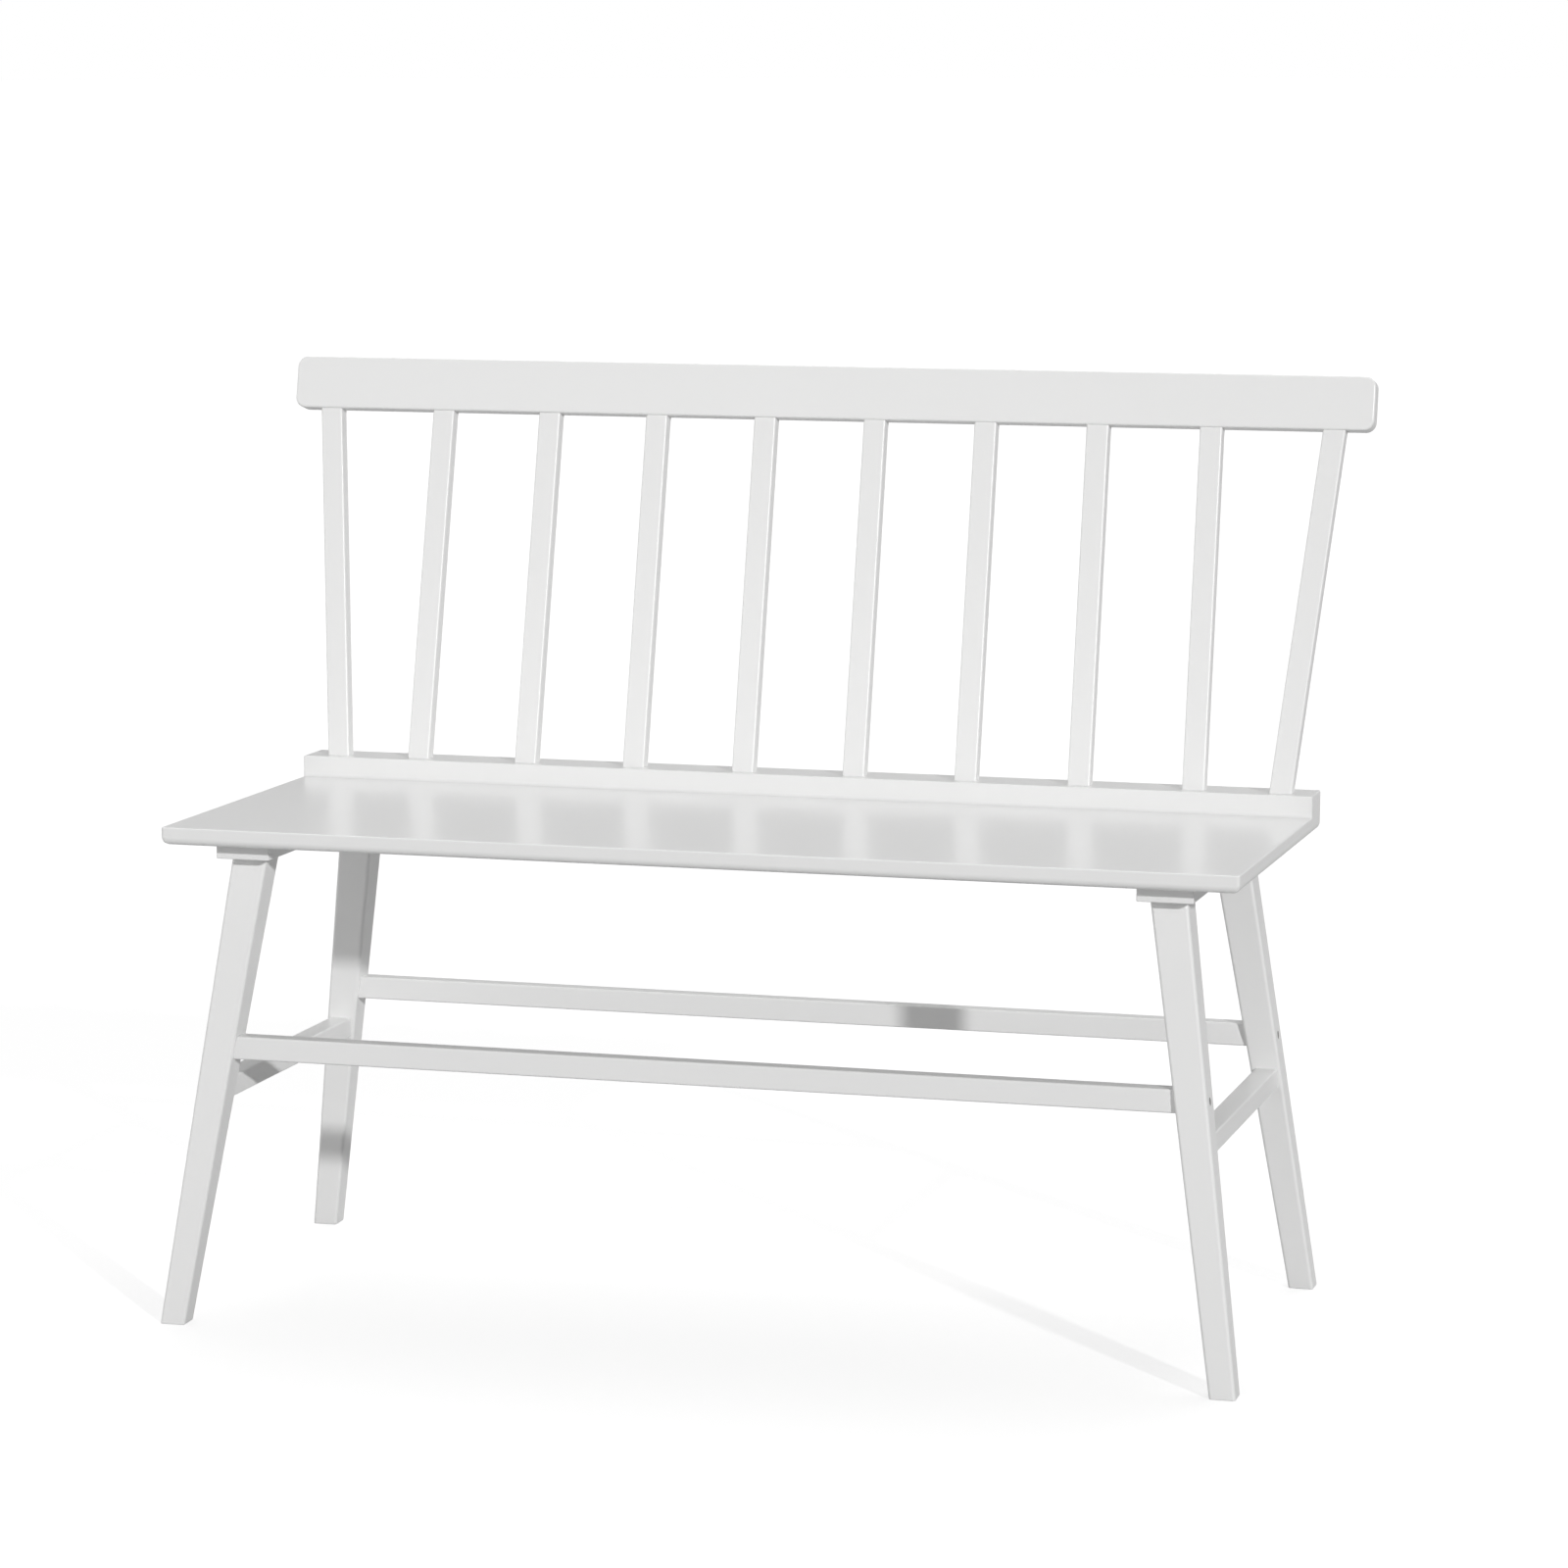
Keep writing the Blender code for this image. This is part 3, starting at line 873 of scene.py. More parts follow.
@dataclass
class TopRail(Woodwork):
    """Top rail: a board with rounded corners in front view and eased edges all round."""

    half_length: float = 0.53725
    height: float = 0.0511
    thickness: float = 0.0199
    corners: Rounding = Rounding(0.010, 16)
    rims: Rounding = Rounding(0.0022, 6)
    pattern_shift: float = 3.1

    def build(self) -> None:
        """Build and dress the rail."""
        plan = self.plan
        stock = Stock.block((2 * self.half_length, self.thickness, self.height),
                            (0, 0, self.height / 2))
        stock.round(stock.edges_along(Y_AXIS), self.corners)
        faces = [face for face in stock.mesh.faces if abs(face.normal.y) > cos(SAME_WAY)]
        stock.round(list({edge for face in faces for edge in face.edges}), self.rims)
        lean = Matrix.Translation(plan.rail_under) @ Matrix.Rotation(-plan.back_lean, 4, "X")
        rail = stock.piece("back_rail", plan.datum @ lean)
        self.dress(rail, self.paint.material("rail", X_AXIS, self.pattern_shift), ["top_rail"])


@dataclass(frozen=True)
class GrowTree(Graph):
    """A geometry tree with a named input for each of its values, and the values it is run with."""

    values: dict
    source: Node

    SOCKETS: ClassVar[dict] = {int: "NodeSocketInt", float: "NodeSocketFloat",
                               Vector: "NodeSocketVector", Object: "NodeSocketObject",
                               Material: "NodeSocketMaterial"}

    @classmethod
    def begin(cls, name: str, values: dict) -> Self:
        """Start a tree.

        Args:
            name: The tree's name.
            values: Values by the names of the inputs. One is the finish, named Finish.

        Returns:
            The tree.
        """
        tree = bpy.data.node_groups.new(name, "GeometryNodeTree")
        for label, value in values.items():
            tree.interface.new_socket(label, in_out="INPUT", socket_type=cls.SOCKETS[type(value)])
        tree.interface.new_socket("Geometry", in_out="OUTPUT", socket_type="NodeSocketGeometry")
        return cls(tree, values, Graph(tree).node("NodeGroupInput"))

    def size(self, label: str) -> Number:
        """An input as a number."""
        return Number(self, self.source.outputs[label])

    def vector(self, label: str) -> Triple:
        """An input as a vector."""
        return Triple(self, self.source.outputs[label])

    def place(self, pattern: NodeSocket, points: NodeSocket, facing: Term,
              across: Term) -> NodeSocket:
        """Put a pattern on points.

        Args:
            pattern: What is placed.
            points: The points.
            facing: Where the pattern's Z goes.
            across: Where its Y goes, as far as that allows.

        Returns:
            The instances.
        """
        turn = self.link("FunctionNodeAxesToRotation",
                         {"Primary Axis": facing, "Secondary Axis": across},
                         primary_axis="Z", secondary_axis="Y")
        return self.link("GeometryNodeInstanceOnPoints",
                         {"Points": points, "Instance": pattern, "Rotation": turn})

    def note(self, geometry: NodeSocket, name: str, value: Wire) -> NodeSocket:
        """Store a value on each point of a geometry.

        Args:
            geometry: The geometry.
            name: Name of the value.
            value: The value.

        Returns:
            The geometry with the value.
        """
        data_type = "FLOAT_VECTOR" if isinstance(value, Triple) else "FLOAT"
        return self.link("GeometryNodeStoreNamedAttribute",
                         {"Geometry": geometry, "Name": name, "Value": value},
                         data_type=data_type, domain="POINT")

    def grow(self, name: str, geometry: NodeSocket) -> Object:
        """End the tree in Realize Instances and Set Material, run it and keep a plain mesh.

        Args:
            name: The piece's name.
            geometry: What the tree has made.

        Returns:
            The piece, at the origin, without modifiers.
        """
        real = self.link("GeometryNodeRealizeInstances", {"Geometry": geometry})
        dressed = self.link("GeometryNodeSetMaterial",
                            {"Geometry": real, "Material": self.source.outputs["Finish"]})
        self.node("NodeGroupOutput", {0: dressed})
        piece = linked(name, bpy.data.meshes.new(name))
        modifier = modify(piece, "NODES", node_group=self.tree)
        for item in self.tree.interface.items_tree:
            if item.in_out == "INPUT":
                modifier[item.identifier] = self.values[item.name]
        settle(piece)
        return piece


@dataclass
class SlatRow(Woodwork):
    """The fan of back slats: an even inner row and one splayed slat at each end.

    A rule gives each slat's foot and head from its number, so the row is grown by geometry nodes.
    Each slat is cut to the ledge at its foot and to the rail at its head.
    """

    count: int = 10
    foot_pitch: float = 0.110
    head_pitch: float = 0.1093
    foot_end_step: float = 0.0828
    head_end_step: float = 0.1172
    width: float = 0.0215
    edges: Rounding = Rounding(0.0018, 6)
    pattern_shift: float = 5.7

    def slat(self, tree: GrowTree) -> NodeSocket:
        """One straight slat with rounded edges along +Z, with a mark on its upper end.

        Args:
            tree: The row's tree.

        Returns:
            The slat's geometry.
        """
        outline = tree.link("GeometryNodeCurvePrimitiveQuadrilateral",
                            {"Width": tree.size("Width"), "Height": tree.size("Thickness")})
        rounded = tree.link("GeometryNodeFilletCurve",
                            {"Curve": outline, "Count": tree.size("Edge Points"),
                             "Radius": tree.size("Edge Radius")}, mode="POLY")
        section = tree.link("GeometryNodeFillCurve", {"Curve": rounded}, mode="NGONS")
        along = tree.joined(0.0, 0.0, tree.size("Length"))
        pulled = tree.link("GeometryNodeExtrudeMesh",
                           {"Mesh": section, "Offset": along, "Offset Scale": 1.0}, mode="FACES")
        base = tree.link("GeometryNodeFlipFaces", {"Mesh": section})
        both = tree.node("GeometryNodeJoinGeometry")
        for part in (base, pulled):
            tree.feed(both.inputs[0], part)
        closed = tree.link("GeometryNodeMergeByDistance",
                           {"Geometry": both.outputs[0], "Distance": TINY})
        height = tree.triple("GeometryNodeInputPosition").dot((0.0, 0.0, 1.0))
        return tree.note(closed, "head", height.above(tree.size("Length") * 0.5))

    def row(self, tree: GrowTree) -> NodeSocket:
        """All slats in their places, in the seat datum.

        Args:
            tree: The row's tree.

        Returns:
            Their geometry.
        """
        index, count = tree.number("GeometryNodeInputIndex"), tree.size("Count")
        from_middle = index - (count - 1) * 0.5
        is_end = (from_middle * from_middle).above((count - 2) * (count - 2) * 0.25)
        beyond = is_end * from_middle.sign()
        places = []
        for part in ("Foot", "Head"):
            pitch = tree.size(part + " Pitch")
            x = from_middle * pitch + beyond * (tree.size(part + " End Step") - pitch)
            places.append(tree.vector(part + " Place") + tree.joined(x, 0.0, 0.0))
        foot, head = places
        points = tree.link("GeometryNodePoints", {"Count": count, "Position": foot})
        noted = tree.note(points, "axis", (head - foot).unit())
        axis = tree.triple("GeometryNodeInputNamedAttribute", {"Name": "axis"},
                           data_type="FLOAT_VECTOR")
        row = tree.place(self.slat(tree), noted, axis, tree.vector("Across The Back"))
        real = tree.link("GeometryNodeRealizeInstances", {"Geometry": row})

        is_head = tree.number("GeometryNodeInputNamedAttribute", {"Name": "head"},
                              data_type="FLOAT")
        up, seam = tree.vector("Up The Back"), tree.size("Seam")
        normal = up.scaled(is_head) + tree.joined(0.0, 0.0, 1 - is_head)
        at_head = tree.vector("Head Place") - up.scaled(seam)
        at_foot = tree.vector("Foot Place") + tree.joined(0.0, 0.0, seam)
        on_plane = at_head.scaled(is_head) + at_foot.scaled(1 - is_head)
        position = tree.triple("GeometryNodeInputPosition")
        reach = (on_plane - position).dot(normal) / axis.dot(normal)
        return tree.link("GeometryNodeSetPosition",
                         {"Geometry": real, "Offset": axis.scaled(reach)})

    def build(self) -> None:
        """Build and dress the row."""
        plan = self.plan
        grain = plan.datum.to_3x3() @ plan.back_up
        material = self.paint.material("slats", grain, self.pattern_shift)
        tree = GrowTree.begin("slat_row", {
            "Count": self.count, "Edge Points": self.edges.segments, "Width": self.width,
            "Thickness": plan.slat_thickness, "Edge Radius": self.edges.radius,
            "Length": plan.slat_length, "Foot Pitch": self.foot_pitch,
            "Head Pitch": self.head_pitch, "Foot End Step": self.foot_end_step,
            "Head End Step": self.head_end_step, "Foot Place": plan.slat_foot,
            "Head Place": plan.rail_under, "Up The Back": plan.back_up,
            "Across The Back": Vector((0, cos(plan.back_lean), -sin(plan.back_lean))),
            "Seam": SEAM, "Finish": material})
        row = tree.grow("back_slats", self.row(tree))
        row.data.transform(plan.datum)
        self.dress(row, material, [f"back_slat_{number + 1:02d}" for number in range(self.count)])


# Fasteners


@dataclass
class PairedRow(SubAssembly):
    """A row of equal fasteners on the right and its twin on the left, placed by geometry nodes."""

    def rows(self, tree: GrowTree) -> NodeSocket:
        """Both rows, in the seat datum.

        Args:
            tree: The rows' tree.

        Returns:
            Their geometry.
        """
        index, count = tree.number("GeometryNodeInputIndex"), tree.size("Count")
        side = index.remainder(2.0) * 2 - 1
        share = (index * 0.5).rounded_down() / (count - 1)
        first, last, out = tree.vector("First"), tree.vector("Last"), tree.size("Faces Out")
        place = (first + (last - first).scaled(share)) * tree.joined(side, 1.0, 1.0)
        points = tree.link("GeometryNodePoints", {"Count": count * 2, "Position": place})
        pattern = tree.node("GeometryNodeObjectInfo", {"Object": tree.source.outputs["Pattern"]})
        facing = tree.joined(side * out, 0.0, 1 - out)
        return tree.place(pattern.outputs["Geometry"], points, facing, (0.0, 1.0, 0.0))

    def lay(self, kind: str, finish: PlatedSteel, pattern: Object, ends: list[Vector],
            spots: list[str], faces_out: bool = False) -> None:
        """Lay out, place and dress the rows.

        Args:
            kind: Name of one fastener, which also names the rows.
            finish: Their finish.
            pattern: One fastener, which is removed afterwards.
            ends: Places of the foremost and the rearmost one on the right, in the seat datum.
            spots: What tells the fasteners' CAD nodes apart.
            faces_out: Whether the heads face the bench's ends instead of the seat.
        """
        material = finish.material(kind + "s_plating")
        tree = GrowTree.begin("paired_row", {
            "Pattern": pattern, "Count": len(spots) // len(Side), "First": ends[0],
            "Last": ends[1], "Faces Out": float(faces_out), "Finish": material})
        rows = tree.grow(kind + "s", self.rows(tree))
        rows.data.transform(self.plan.datum)
        bpy.data.objects.remove(pattern)
        self.dress(rows, material, [f"{kind}_{spot}" for spot in spots], finish.slot)

    def at(self, spot: Vector, side: Side) -> Matrix:
        """Place on one side, in the part frame, of what lies at a spot on the right of the seat."""
        return self.plan.datum @ Matrix.Translation((side.value * spot.x, spot.y, spot.z))


@dataclass
class StretcherBolts(PairedRow):
    """Bolts through the legs, and the barrel nuts that they draw the long stretchers on with."""

    stretcher_height: float = -0.2076
    head_diameter: float = 0.0066
    head_length: float = 0.004
    head_chamfer: float = 0.0004
    head_recess: float = 0.006
    shank_diameter: float = 0.0045
    tip_chamfer: float = 0.0008
    socket_width: float = 0.003
    socket_depth: float = 0.002
    mouth_chamfer: float = 0.0005
    tip_beyond_nut: float = 0.010
    nut_diameter: float = 0.010
    nut_length: float = 0.014
    nut_chamfer: float = 0.0006
    nut_from_leg: float = 0.026
    slot_width: float = 0.0012
    slot_depth: float = 0.0012

    @property
    def bore(self) -> float:
        """Diameter of the holes that the shanks run through."""
        return self.shank_diameter + 2 * self.plan.fit_gap

    def shoulder(self, end: End) -> Vector:
        """Where a long stretcher's axis meets its right leg, in the seat datum."""
        leg = Leg(self.plan, Side.RIGHT, end)
        return leg.meet(-X_AXIS, Vector((0, *leg.axis_at(self.stretcher_height).yz)))

    def head_seat(self, end: End) -> Vector:
        """Where a bolt's head sits in its right leg, under the head, in the seat datum."""
        outer = Leg(self.plan, Side.RIGHT, end).meet(X_AXIS, self.shoulder(end))
        return outer - Vector((self.head_recess + self.head_length, 0, 0))

    def nut_place(self, end: End) -> Vector:
        """Where a barrel nut's lower end lies in a stretcher's right end, in the seat datum."""
        return self.shoulder(end) - Vector((self.nut_from_leg, 0, self.nut_length / 2))

    def leg_bores(self, side: Side, end: End) -> list[Object]:
        """Cutters for a bolt's hole in a leg: a counterbore, the bore and an eased mouth.

        Args:
            side: Left or right.
            end: Front or back.

        Returns:
            The cutters, in the part frame.
        """
        plan, toward = self.plan, side.value
        seat, well = self.head_seat(end), self.head_recess + self.head_length
        mouth = plan.datum @ Vector((toward * (seat.x + well), seat.y, seat.z))
        place = self.at(seat, side) @ Matrix.Rotation(toward * pi / 2, 4, "Y")
        wide, eased = self.head_diameter / 2 + plan.fit_gap, self.mouth_chamfer
        square = Leg(plan, side, end).face(toward * X_AXIS)[1].to_track_quat("Z", "Y")
        cone = Stock.turned([(wide, -eased), (wide + 4 * eased, 3 * eased)])
        return [Stock.rod(2 * wide, -plan.fit_gap, OVERRUN).piece("counterbore", place),
                Stock.rod(self.bore, -OVERRUN, well).piece("bore", place),
                cone.piece("eased_mouth", Matrix.Translation(mouth) @ square.to_matrix().to_4x4())]

    def well(self, end: End) -> Well:
        """The counterbore of a leg, with painted shade on its wall."""
        radius = self.head_diameter / 2 + 2 * self.plan.fit_gap
        return Well(self.plan.datum @ self.head_seat(end), radius)

    def nut_bores(self, end: End) -> list[Object]:
        """Cutters for the barrel nuts' holes in the underside of a long stretcher.

        Args:
            end: Front or back.

        Returns:
            The cutters, in the part frame.
        """
        gap = self.plan.fit_gap
        size = (self.nut_diameter + 2 * gap, -OVERRUN, self.nut_length + gap)
        return [Stock.rod(*size).piece("nut_hole", self.at(self.nut_place(end), side))
                for side in Side]

    def bolt(self) -> Object:
        """One bolt: a cheese head with a hexagon socket, and its shank along -Z.

        Returns:
            The pattern object.
        """
        radius, shank = self.head_diameter / 2, self.shank_diameter / 2
        head, chamfer, tip = self.head_length, self.head_chamfer, self.tip_chamfer
        seat, nut = self.head_seat(End.FRONT), self.nut_place(End.FRONT)
        length = seat.x - nut.x + self.tip_beyond_nut
        bolt = Stock.turned([
            (0, -length), (shank - tip, -length), (shank, tip - length), (shank, 0), (radius, 0),
            (radius, head - chamfer), (radius - chamfer, head), (0, head)]).piece("bolt_pattern")
        corner = self.socket_width / cos(pi / HEXAGON) / 2
        floor = head - self.socket_depth
        socket = Stock.turned([(0, floor - chamfer), (corner, floor), (corner, head - chamfer / 2),
                               (corner + chamfer, head + chamfer / 2)], HEXAGON)
        carve(bolt, [socket.piece("socket")])
        return bolt

    def nut(self) -> Object:
        """One barrel nut: a chamfered pin with a cross hole and a slot in its lower end.

        Returns:
            The pattern object.
        """
        radius, chamfer, length = self.nut_diameter / 2, self.nut_chamfer, self.nut_length
        nut = Stock.turned([
            (0, 0), (radius - chamfer, 0), (radius, chamfer), (radius, length - chamfer),
            (radius - chamfer, length), (0, length)]).piece("nut_pattern")
        across = Matrix.Translation((0, 0, length / 2)) @ Matrix.Rotation(pi / 2, 4, "Y")
        hole = Stock.rod(self.bore, -OVERRUN, OVERRUN).piece("cross_hole", across)
        slot = Stock.block((OVERRUN, self.slot_width, 2 * self.slot_depth)).piece("slot")
        carve(nut, [hole, slot])
        return nut

    def build(self) -> None:
        """Build and dress the bolts and the nuts."""
        spots = [f"{end.label}_{side.label}" for end in End for side in Side]
        for kind, finish, pattern, place, faces_out in (
                ("stretcher_bolt", BLACKENED, self.bolt, self.head_seat, True),
                ("barrel_nut", ZINC, self.nut, self.nut_place, False)):
            self.lay(kind, finish, pattern(), [place(end) for end in End], spots, faces_out)


@dataclass
class CleatScrews(PairedRow):
    """Countersunk screws that hold the seat on the cleats."""

    count: int = 3
    shank_diameter: float = 0.004
    head_diameter: float = 0.008
    head_depth: float = 0.003
    head_edge: float = 0.0003
    length: float = 0.025
    point_length: float = 0.003
    recess_width: float = 0.0011
    recess_span: float = 0.0046
    recess_depth: float = 0.0022
    recess_taper: tuple = (0.45, 0.8, 1.0)
    leg_clearance: float = 0.045

    def place(self, end: End) -> Vector:
        """Place of the first or last screw on the right, in the seat datum.

        Args:
            end: Front for the first screw, back for the last.

        Returns:
            The middle of its head, which is flush with the cleat's underside.
        """
        plan = self.plan
        axis = Leg(plan, Side.RIGHT, end).axis_at(plan.cleat_under)
        return Vector((plan.cleat_x, axis.y - end.value * self.leg_clearance, plan.cleat_under))

    def profile(self, margin: float = 0.0) -> list[tuple[float, float]]:
        """Profile of the screw, or of its hole, with the point up.

        Args:
            margin: How far the hole's wall stands off the screw.

        Returns:
            Radius and height of each ring.
        """
        shank, head = self.shank_diameter / 2 + margin, self.head_diameter / 2 + margin
        return [(0, 0), (head, 0), (head, self.head_edge), (shank, self.head_depth),
                (shank, self.length - self.point_length), (0, self.length)]

    def holes(self, side: Side) -> list[Object]:
        """Cutters for the screws' holes in one cleat.

        Args:
            side: Left or right.

        Returns:
            The cutters, in the part frame.
        """
        first, last = (self.place(end) for end in End)
        _, rim, *rest = self.profile(self.plan.fit_gap)
        profile = [(0, -OVERRUN), (rim[0], -OVERRUN), rim, *rest]
        spots = (first.lerp(last, number / (self.count - 1)) for number in range(self.count))
        return [Stock.turned(profile).piece("screw_hole", self.at(spot, side)) for spot in spots]

    def screw(self) -> Object:
        """One screw with a cross recess, point up.

        Returns:
            The pattern object.
        """
        screw = Stock.turned(self.profile()).piece("screw_pattern")
        recesses = []
        for turn in (pi / 4, 3 * pi / 4):
            stock = Stock.block((self.recess_span, self.recess_width, 2 * self.recess_depth))
            for vert in stock.mesh.verts:
                if vert.co.z > 0:
                    vert.co *= Vector(self.recess_taper)
            recesses.append(stock.piece("recess", Matrix.Rotation(turn, 4, "Z")))
        carve(screw, recesses)
        return screw

    def build(self) -> None:
        """Build and dress the screws."""
        spots = [f"{side.label}_{number + 1}" for side in Side for number in range(self.count)]
        self.lay("cleat_screw", ZINC, self.screw(), [self.place(end) for end in End], spots)


# Under-frame


@dataclass
class Cleats(Woodwork):
    """Two flat cleats under the seat, one across each end, drilled for their screws."""

    width: float = 0.051
    edges: Rounding = Rounding(0.001, 3)
    pattern_shift: float = 7.3

    def build(self, screws: CleatScrews) -> None:
        """Build and dress both cleats.

        Args:
            screws: The screws that go through them.
        """
        plan = self.plan
        length = plan.cleat_back - plan.cleat_front
        for side in Side:
            stock = Stock.block((self.width, length, plan.cleat_thickness),
                                (side.value * plan.cleat_x, plan.cleat_front + length / 2,
                                 plan.cleat_under + plan.cleat_thickness / 2))
            stock.round(stock.mesh.edges[:], self.edges)
            cleat = stock.piece("cleat_" + side.label, plan.datum)
            carve(cleat, screws.holes(side))
            material = self.paint.material(cleat.name, Y_AXIS, self.pattern_shift + side.value)
            self.dress(cleat, material, ["seat_cleat_" + side.label])


@dataclass
class Legs(Woodwork):
    """Four tapered legs, splayed both ways, cut level with the floor and to the raked cleats."""

    edges: Rounding = Rounding(0.003, 8)
    foot_rim: Rounding = Rounding(0.001, 3)
    pattern_shift: float = 11.0
    shift_step: float = 1.7

    def post(self, leg: Leg) -> Stock:
        """One leg without its bores.

        Args:
            leg: Where it stands.

        Returns:
            The stock, in the part frame.
        """
        plan, foot, top = self.plan, leg.foot, leg.top
        past = (top.z + OVERRUN) / top.z
        stock = Stock.block((1, 1, 1))
        for vert in stock.mesh.verts:
            share = past if vert.co.z > 0 else 0
            width, depth = (low + (high - low) * share
                            for low, high in zip(plan.leg_foot_size, plan.leg_top_size))
            corner = Vector((vert.co.x * width, vert.co.y * depth, 0))
            vert.co = foot + (top - foot) * share + corner
        stock.round(stock.edges_along((top - foot).normalized()), self.edges)
        rim = [edge for edge in stock.mesh.edges if max(vert.co.z for vert in edge.verts) < TINY]
        stock.round(rim, self.foot_rim)
        up = plan.datum.to_3x3() @ Z_AXIS
        stock.trim(top + up * (plan.fit_gap - SEAM), up)
        return stock

    def build(self, bolts: StretcherBolts) -> None:
        """Build and dress the legs.

        Args:
            bolts: The bolts that go through them.
        """
        for number, (side, end) in enumerate((side, end) for side in Side for end in End):
            leg = Leg(self.plan, side, end)
            post = self.post(leg).piece(f"post_{end.label}_{side.label}")
            carve(post, bolts.leg_bores(side, end))
            shift = self.pattern_shift + self.shift_step * number
            grain = leg.top - leg.foot
            # The counterbore's wall gets a dark grey as painted shade
            material = self.paint.material(post.name, grain, shift, bolts.well(end))
            self.dress(post, material, [f"leg_{end.label}_{side.label}"])


@dataclass
class Stretchers(Woodwork):
    """Bars between two legs each, trimmed to the legs' sloping faces."""

    edges: Rounding = Rounding(0.0018, 6)

    def bar(self, size: tuple, centre: tuple, along: Vector, legs: dict[Leg, Vector]) -> Stock:
        """One bar, in the seat datum.

        Args:
            size: Its lengths along X, Y and Z before it is trimmed.
            centre: Its middle.
            along: The axis that it runs along.
            legs: The legs that it runs between, each with the direction of the face it meets.

        Returns:
            The stock.
        """
        stock = Stock.block(size, centre)
        stock.round(stock.edges_along(along), self.edges)
        for leg, outward in legs.items():
            leg.trim(stock, outward)
        return stock


@dataclass
class SideStretchers(Stretchers):
    """Stretchers between the front and back legs of each end, parallel to the seat."""

    drop: float = -0.2484
    width: float = 0.021
    height: float = 0.0195
    pattern_shift: float = 19.0

    def build(self) -> None:
        """Build and dress both stretchers."""
        for side in Side:
            legs = {Leg(self.plan, side, end): -end.value * Y_AXIS for end in End}
            front, back = (leg.axis_at(self.drop) for leg in legs)
            stock = self.bar((self.width, back.y - front.y, self.height), (front + back) / 2,
                             Y_AXIS, legs)
            bar = stock.piece("side_bar_" + side.label, self.plan.datum)
            material = self.paint.material(bar.name, Y_AXIS, self.pattern_shift + side.value)
            self.dress(bar, material, ["side_stretcher_" + side.label])


@dataclass
class LongStretchers(Stretchers):
    """Stretchers between the two end frames, bolted through the legs."""

    depth: float = 0.0192
    height: float = 0.0215
    pattern_shift: float = 23.0

    def build(self, bolts: StretcherBolts) -> None:
        """Build and dress both stretchers.

        Args:
            bolts: The bolts and barrel nuts in their ends.
        """
        for end in End:
            legs = {Leg(self.plan, side, end): -side.value * X_AXIS for side in Side}
            axis = Leg(self.plan, Side.RIGHT, end).axis_at(bolts.stretcher_height)
            stock = self.bar((2 * axis.x, self.depth, self.height), (0, axis.y, axis.z), X_AXIS,
                             legs)
            bar = stock.piece("long_bar_" + end.label, self.plan.datum)
            carve(bar, bolts.nut_bores(end))
            material = self.paint.material(bar.name, X_AXIS, self.pattern_shift + end.value)
            self.dress(bar, material, ["long_stretcher_" + end.label])


# Studio


@dataclass(frozen=True)
class Glow:
    """A soft patch of light on the surround, brightest in one direction."""

    toward: tuple
    strength: float
    doublings: int = 2

    def level(self, direction: Triple) -> Number:
        """Strength of the glow in each direction.

        Args:
            direction: The direction that is looked in.

        Returns:
            The strength: a cosine raised to a power of two.
        """
        level = direction.dot(tuple(Vector(self.toward).normalized())).most(0.0)
        for _ in range(self.doublings):
            level = level * level
        return level * self.strength


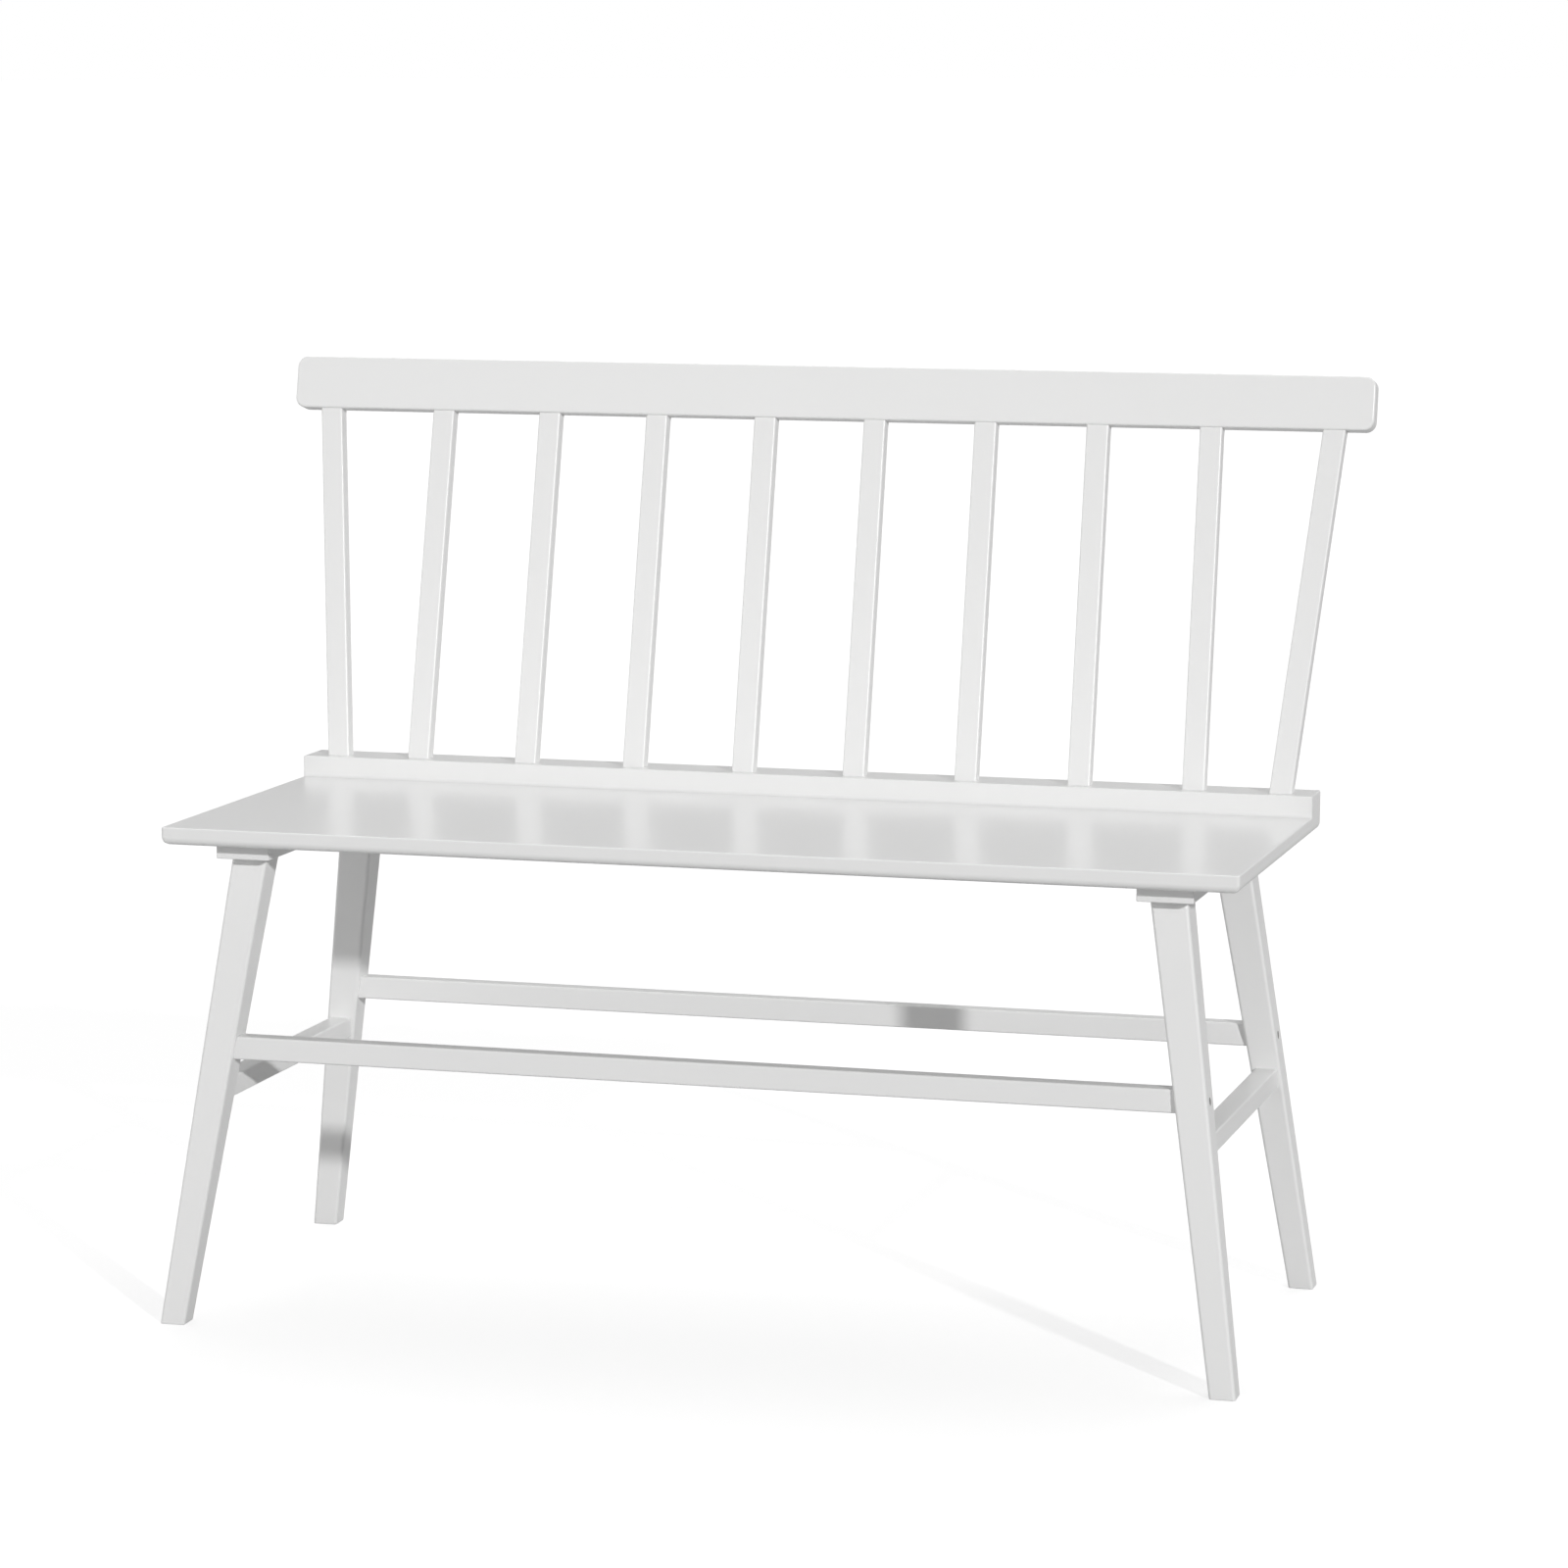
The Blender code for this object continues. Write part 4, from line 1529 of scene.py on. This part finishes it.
@dataclass(frozen=True)
class Studio:
    """A pale floor, one key light from the right, and a surround that is brightest overhead."""

    floor_radius: float = 60.0
    floor_sides: int = 96
    floor_tone: float = 0.44
    floor_lift: float = 0.67
    mirrored_share: float = 0.04
    key_direction: tuple = (0.643, -0.687, 0.333)
    key_strength: float = 1.93
    key_angle: float = radians(2.0)
    glows: tuple = (Glow((0, 0.45, 0.89), 2.6, 3), Glow((-0.6, -0.8, 0.1), 1.32),
                    Glow((-1, 0.1, 0.1), 1.0), Glow((0.8, 0.5, 0.35), 0.45), Glow((0, 1, 0.1), 0.2))

    def seen_rays(self, graph: Graph) -> tuple[Number, Number]:
        """Rays that look at a surface: from the camera, and through gloss or glass.

        Args:
            graph: The graph that the Light Path node goes into.

        Returns:
            One for a camera ray, and one for a mirrored or refracted ray.
        """
        path = graph.node("ShaderNodeLightPath")
        camera, glossy, through = (Number(graph, path.outputs[f"Is {ray} Ray"])
                                   for ray in ("Camera", "Glossy", "Transmission"))
        return camera, glossy.most(through)

    def lay_floor(self) -> None:
        """Lay a wide pale floor that looks white and keeps the bench's shadow."""
        stock = Stock(bmesh.new())
        bmesh.ops.create_circle(stock.mesh, cap_ends=True, radius=self.floor_radius,
                                segments=self.floor_sides)
        floor = stock.piece("studio_floor")
        surface = Surface.named("studio_floor_paint")
        camera, mirrored = self.seen_rays(surface)
        seen = camera + mirrored * self.mirrored_share
        floor.data.materials.append(surface.shade({
            "Base Color": (self.floor_tone,) * 3 + (1.0,), "Roughness": 1.0,
            "Specular IOR Level": 0.0, "Emission Strength": 1.0,
            "Emission Color": surface.between(seen, (0, 0, 0), (self.floor_lift,) * 3)}))

    def light(self) -> None:
        """Hang the key light and fill the surround."""
        lamp = bpy.data.lights.new("key_light", "SUN")
        lamp.energy, lamp.angle = self.key_strength, self.key_angle
        key = linked("key_light", lamp)
        key.rotation_euler = Vector(self.key_direction).to_track_quat("Z", "Y").to_euler()

        world = bpy.data.worlds.new("surround")
        bpy.context.scene.world = world
        world.use_nodes = True
        graph, background = Graph(world.node_tree), world.node_tree.nodes["Background"]
        camera, mirrored = self.seen_rays(graph)
        direction = graph.triple("ShaderNodeTexCoord", output="Generated")
        glows = sum(glow.level(direction) for glow in self.glows)
        level = camera + (1 - camera) * glows + mirrored * self.mirrored_share
        graph.feed(background.inputs["Strength"], level)
        background.inputs["Color"].default_value = (1.0, 1.0, 1.0, 1.0)


@dataclass(frozen=True)
class Viewpoint:
    """The camera: where it stands, how it is turned and what it frames."""

    place: tuple = (1.287646, -4.690869, 1.234157)
    yaw: float = 0.277824
    pitch: float = 0.158811
    roll: float = -0.001507
    lens: float = 120.96
    sensor: float = 36.0
    shift: tuple = (0.05, 0.0233)
    reach: tuple = (0.1, 200.0)

    def set_up(self) -> None:
        """Make the scene's camera."""
        level = cos(self.pitch)
        toward = Vector((-sin(self.yaw) * level, cos(self.yaw) * level, -sin(self.pitch)))
        right = Vector((cos(self.yaw), sin(self.yaw), 0))
        up = right.cross(toward)
        rolled = (cos(self.roll) * right + sin(self.roll) * up,
                  -sin(self.roll) * right + cos(self.roll) * up, -toward)
        data = bpy.data.cameras.new("viewpoint")
        data.lens, data.sensor_width = self.lens, self.sensor
        data.shift_x, data.shift_y = self.shift
        data.clip_start, data.clip_end = self.reach
        camera = linked("viewpoint", data)
        camera.matrix_world = Matrix.Translation(self.place) @ Matrix(rolled).transposed().to_4x4()
        bpy.context.scene.camera = camera
        bpy.context.scene.view_settings.view_transform = "Standard"


def main() -> None:
    """Load the frame, build each sub-assembly around it, and set up the studio."""
    logging.basicConfig(level=logging.INFO, format="%(name)s: %(message)s")
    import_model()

    plan, paint = BenchPlan(), SatinPaint()
    screws, bolts = CleatScrews(plan), StretcherBolts(plan)
    SeatBoard(plan, paint).build()
    TopRail(plan, paint).build()
    SlatRow(plan, paint).build()
    Cleats(plan, paint).build(screws)
    Legs(plan, paint).build(bolts)
    SideStretchers(plan, paint).build()
    LongStretchers(plan, paint).build(bolts)
    screws.build()
    bolts.build()

    studio = Studio()
    studio.lay_floor()
    studio.light()
    Viewpoint().set_up()


if __name__ == "__main__":
    main()
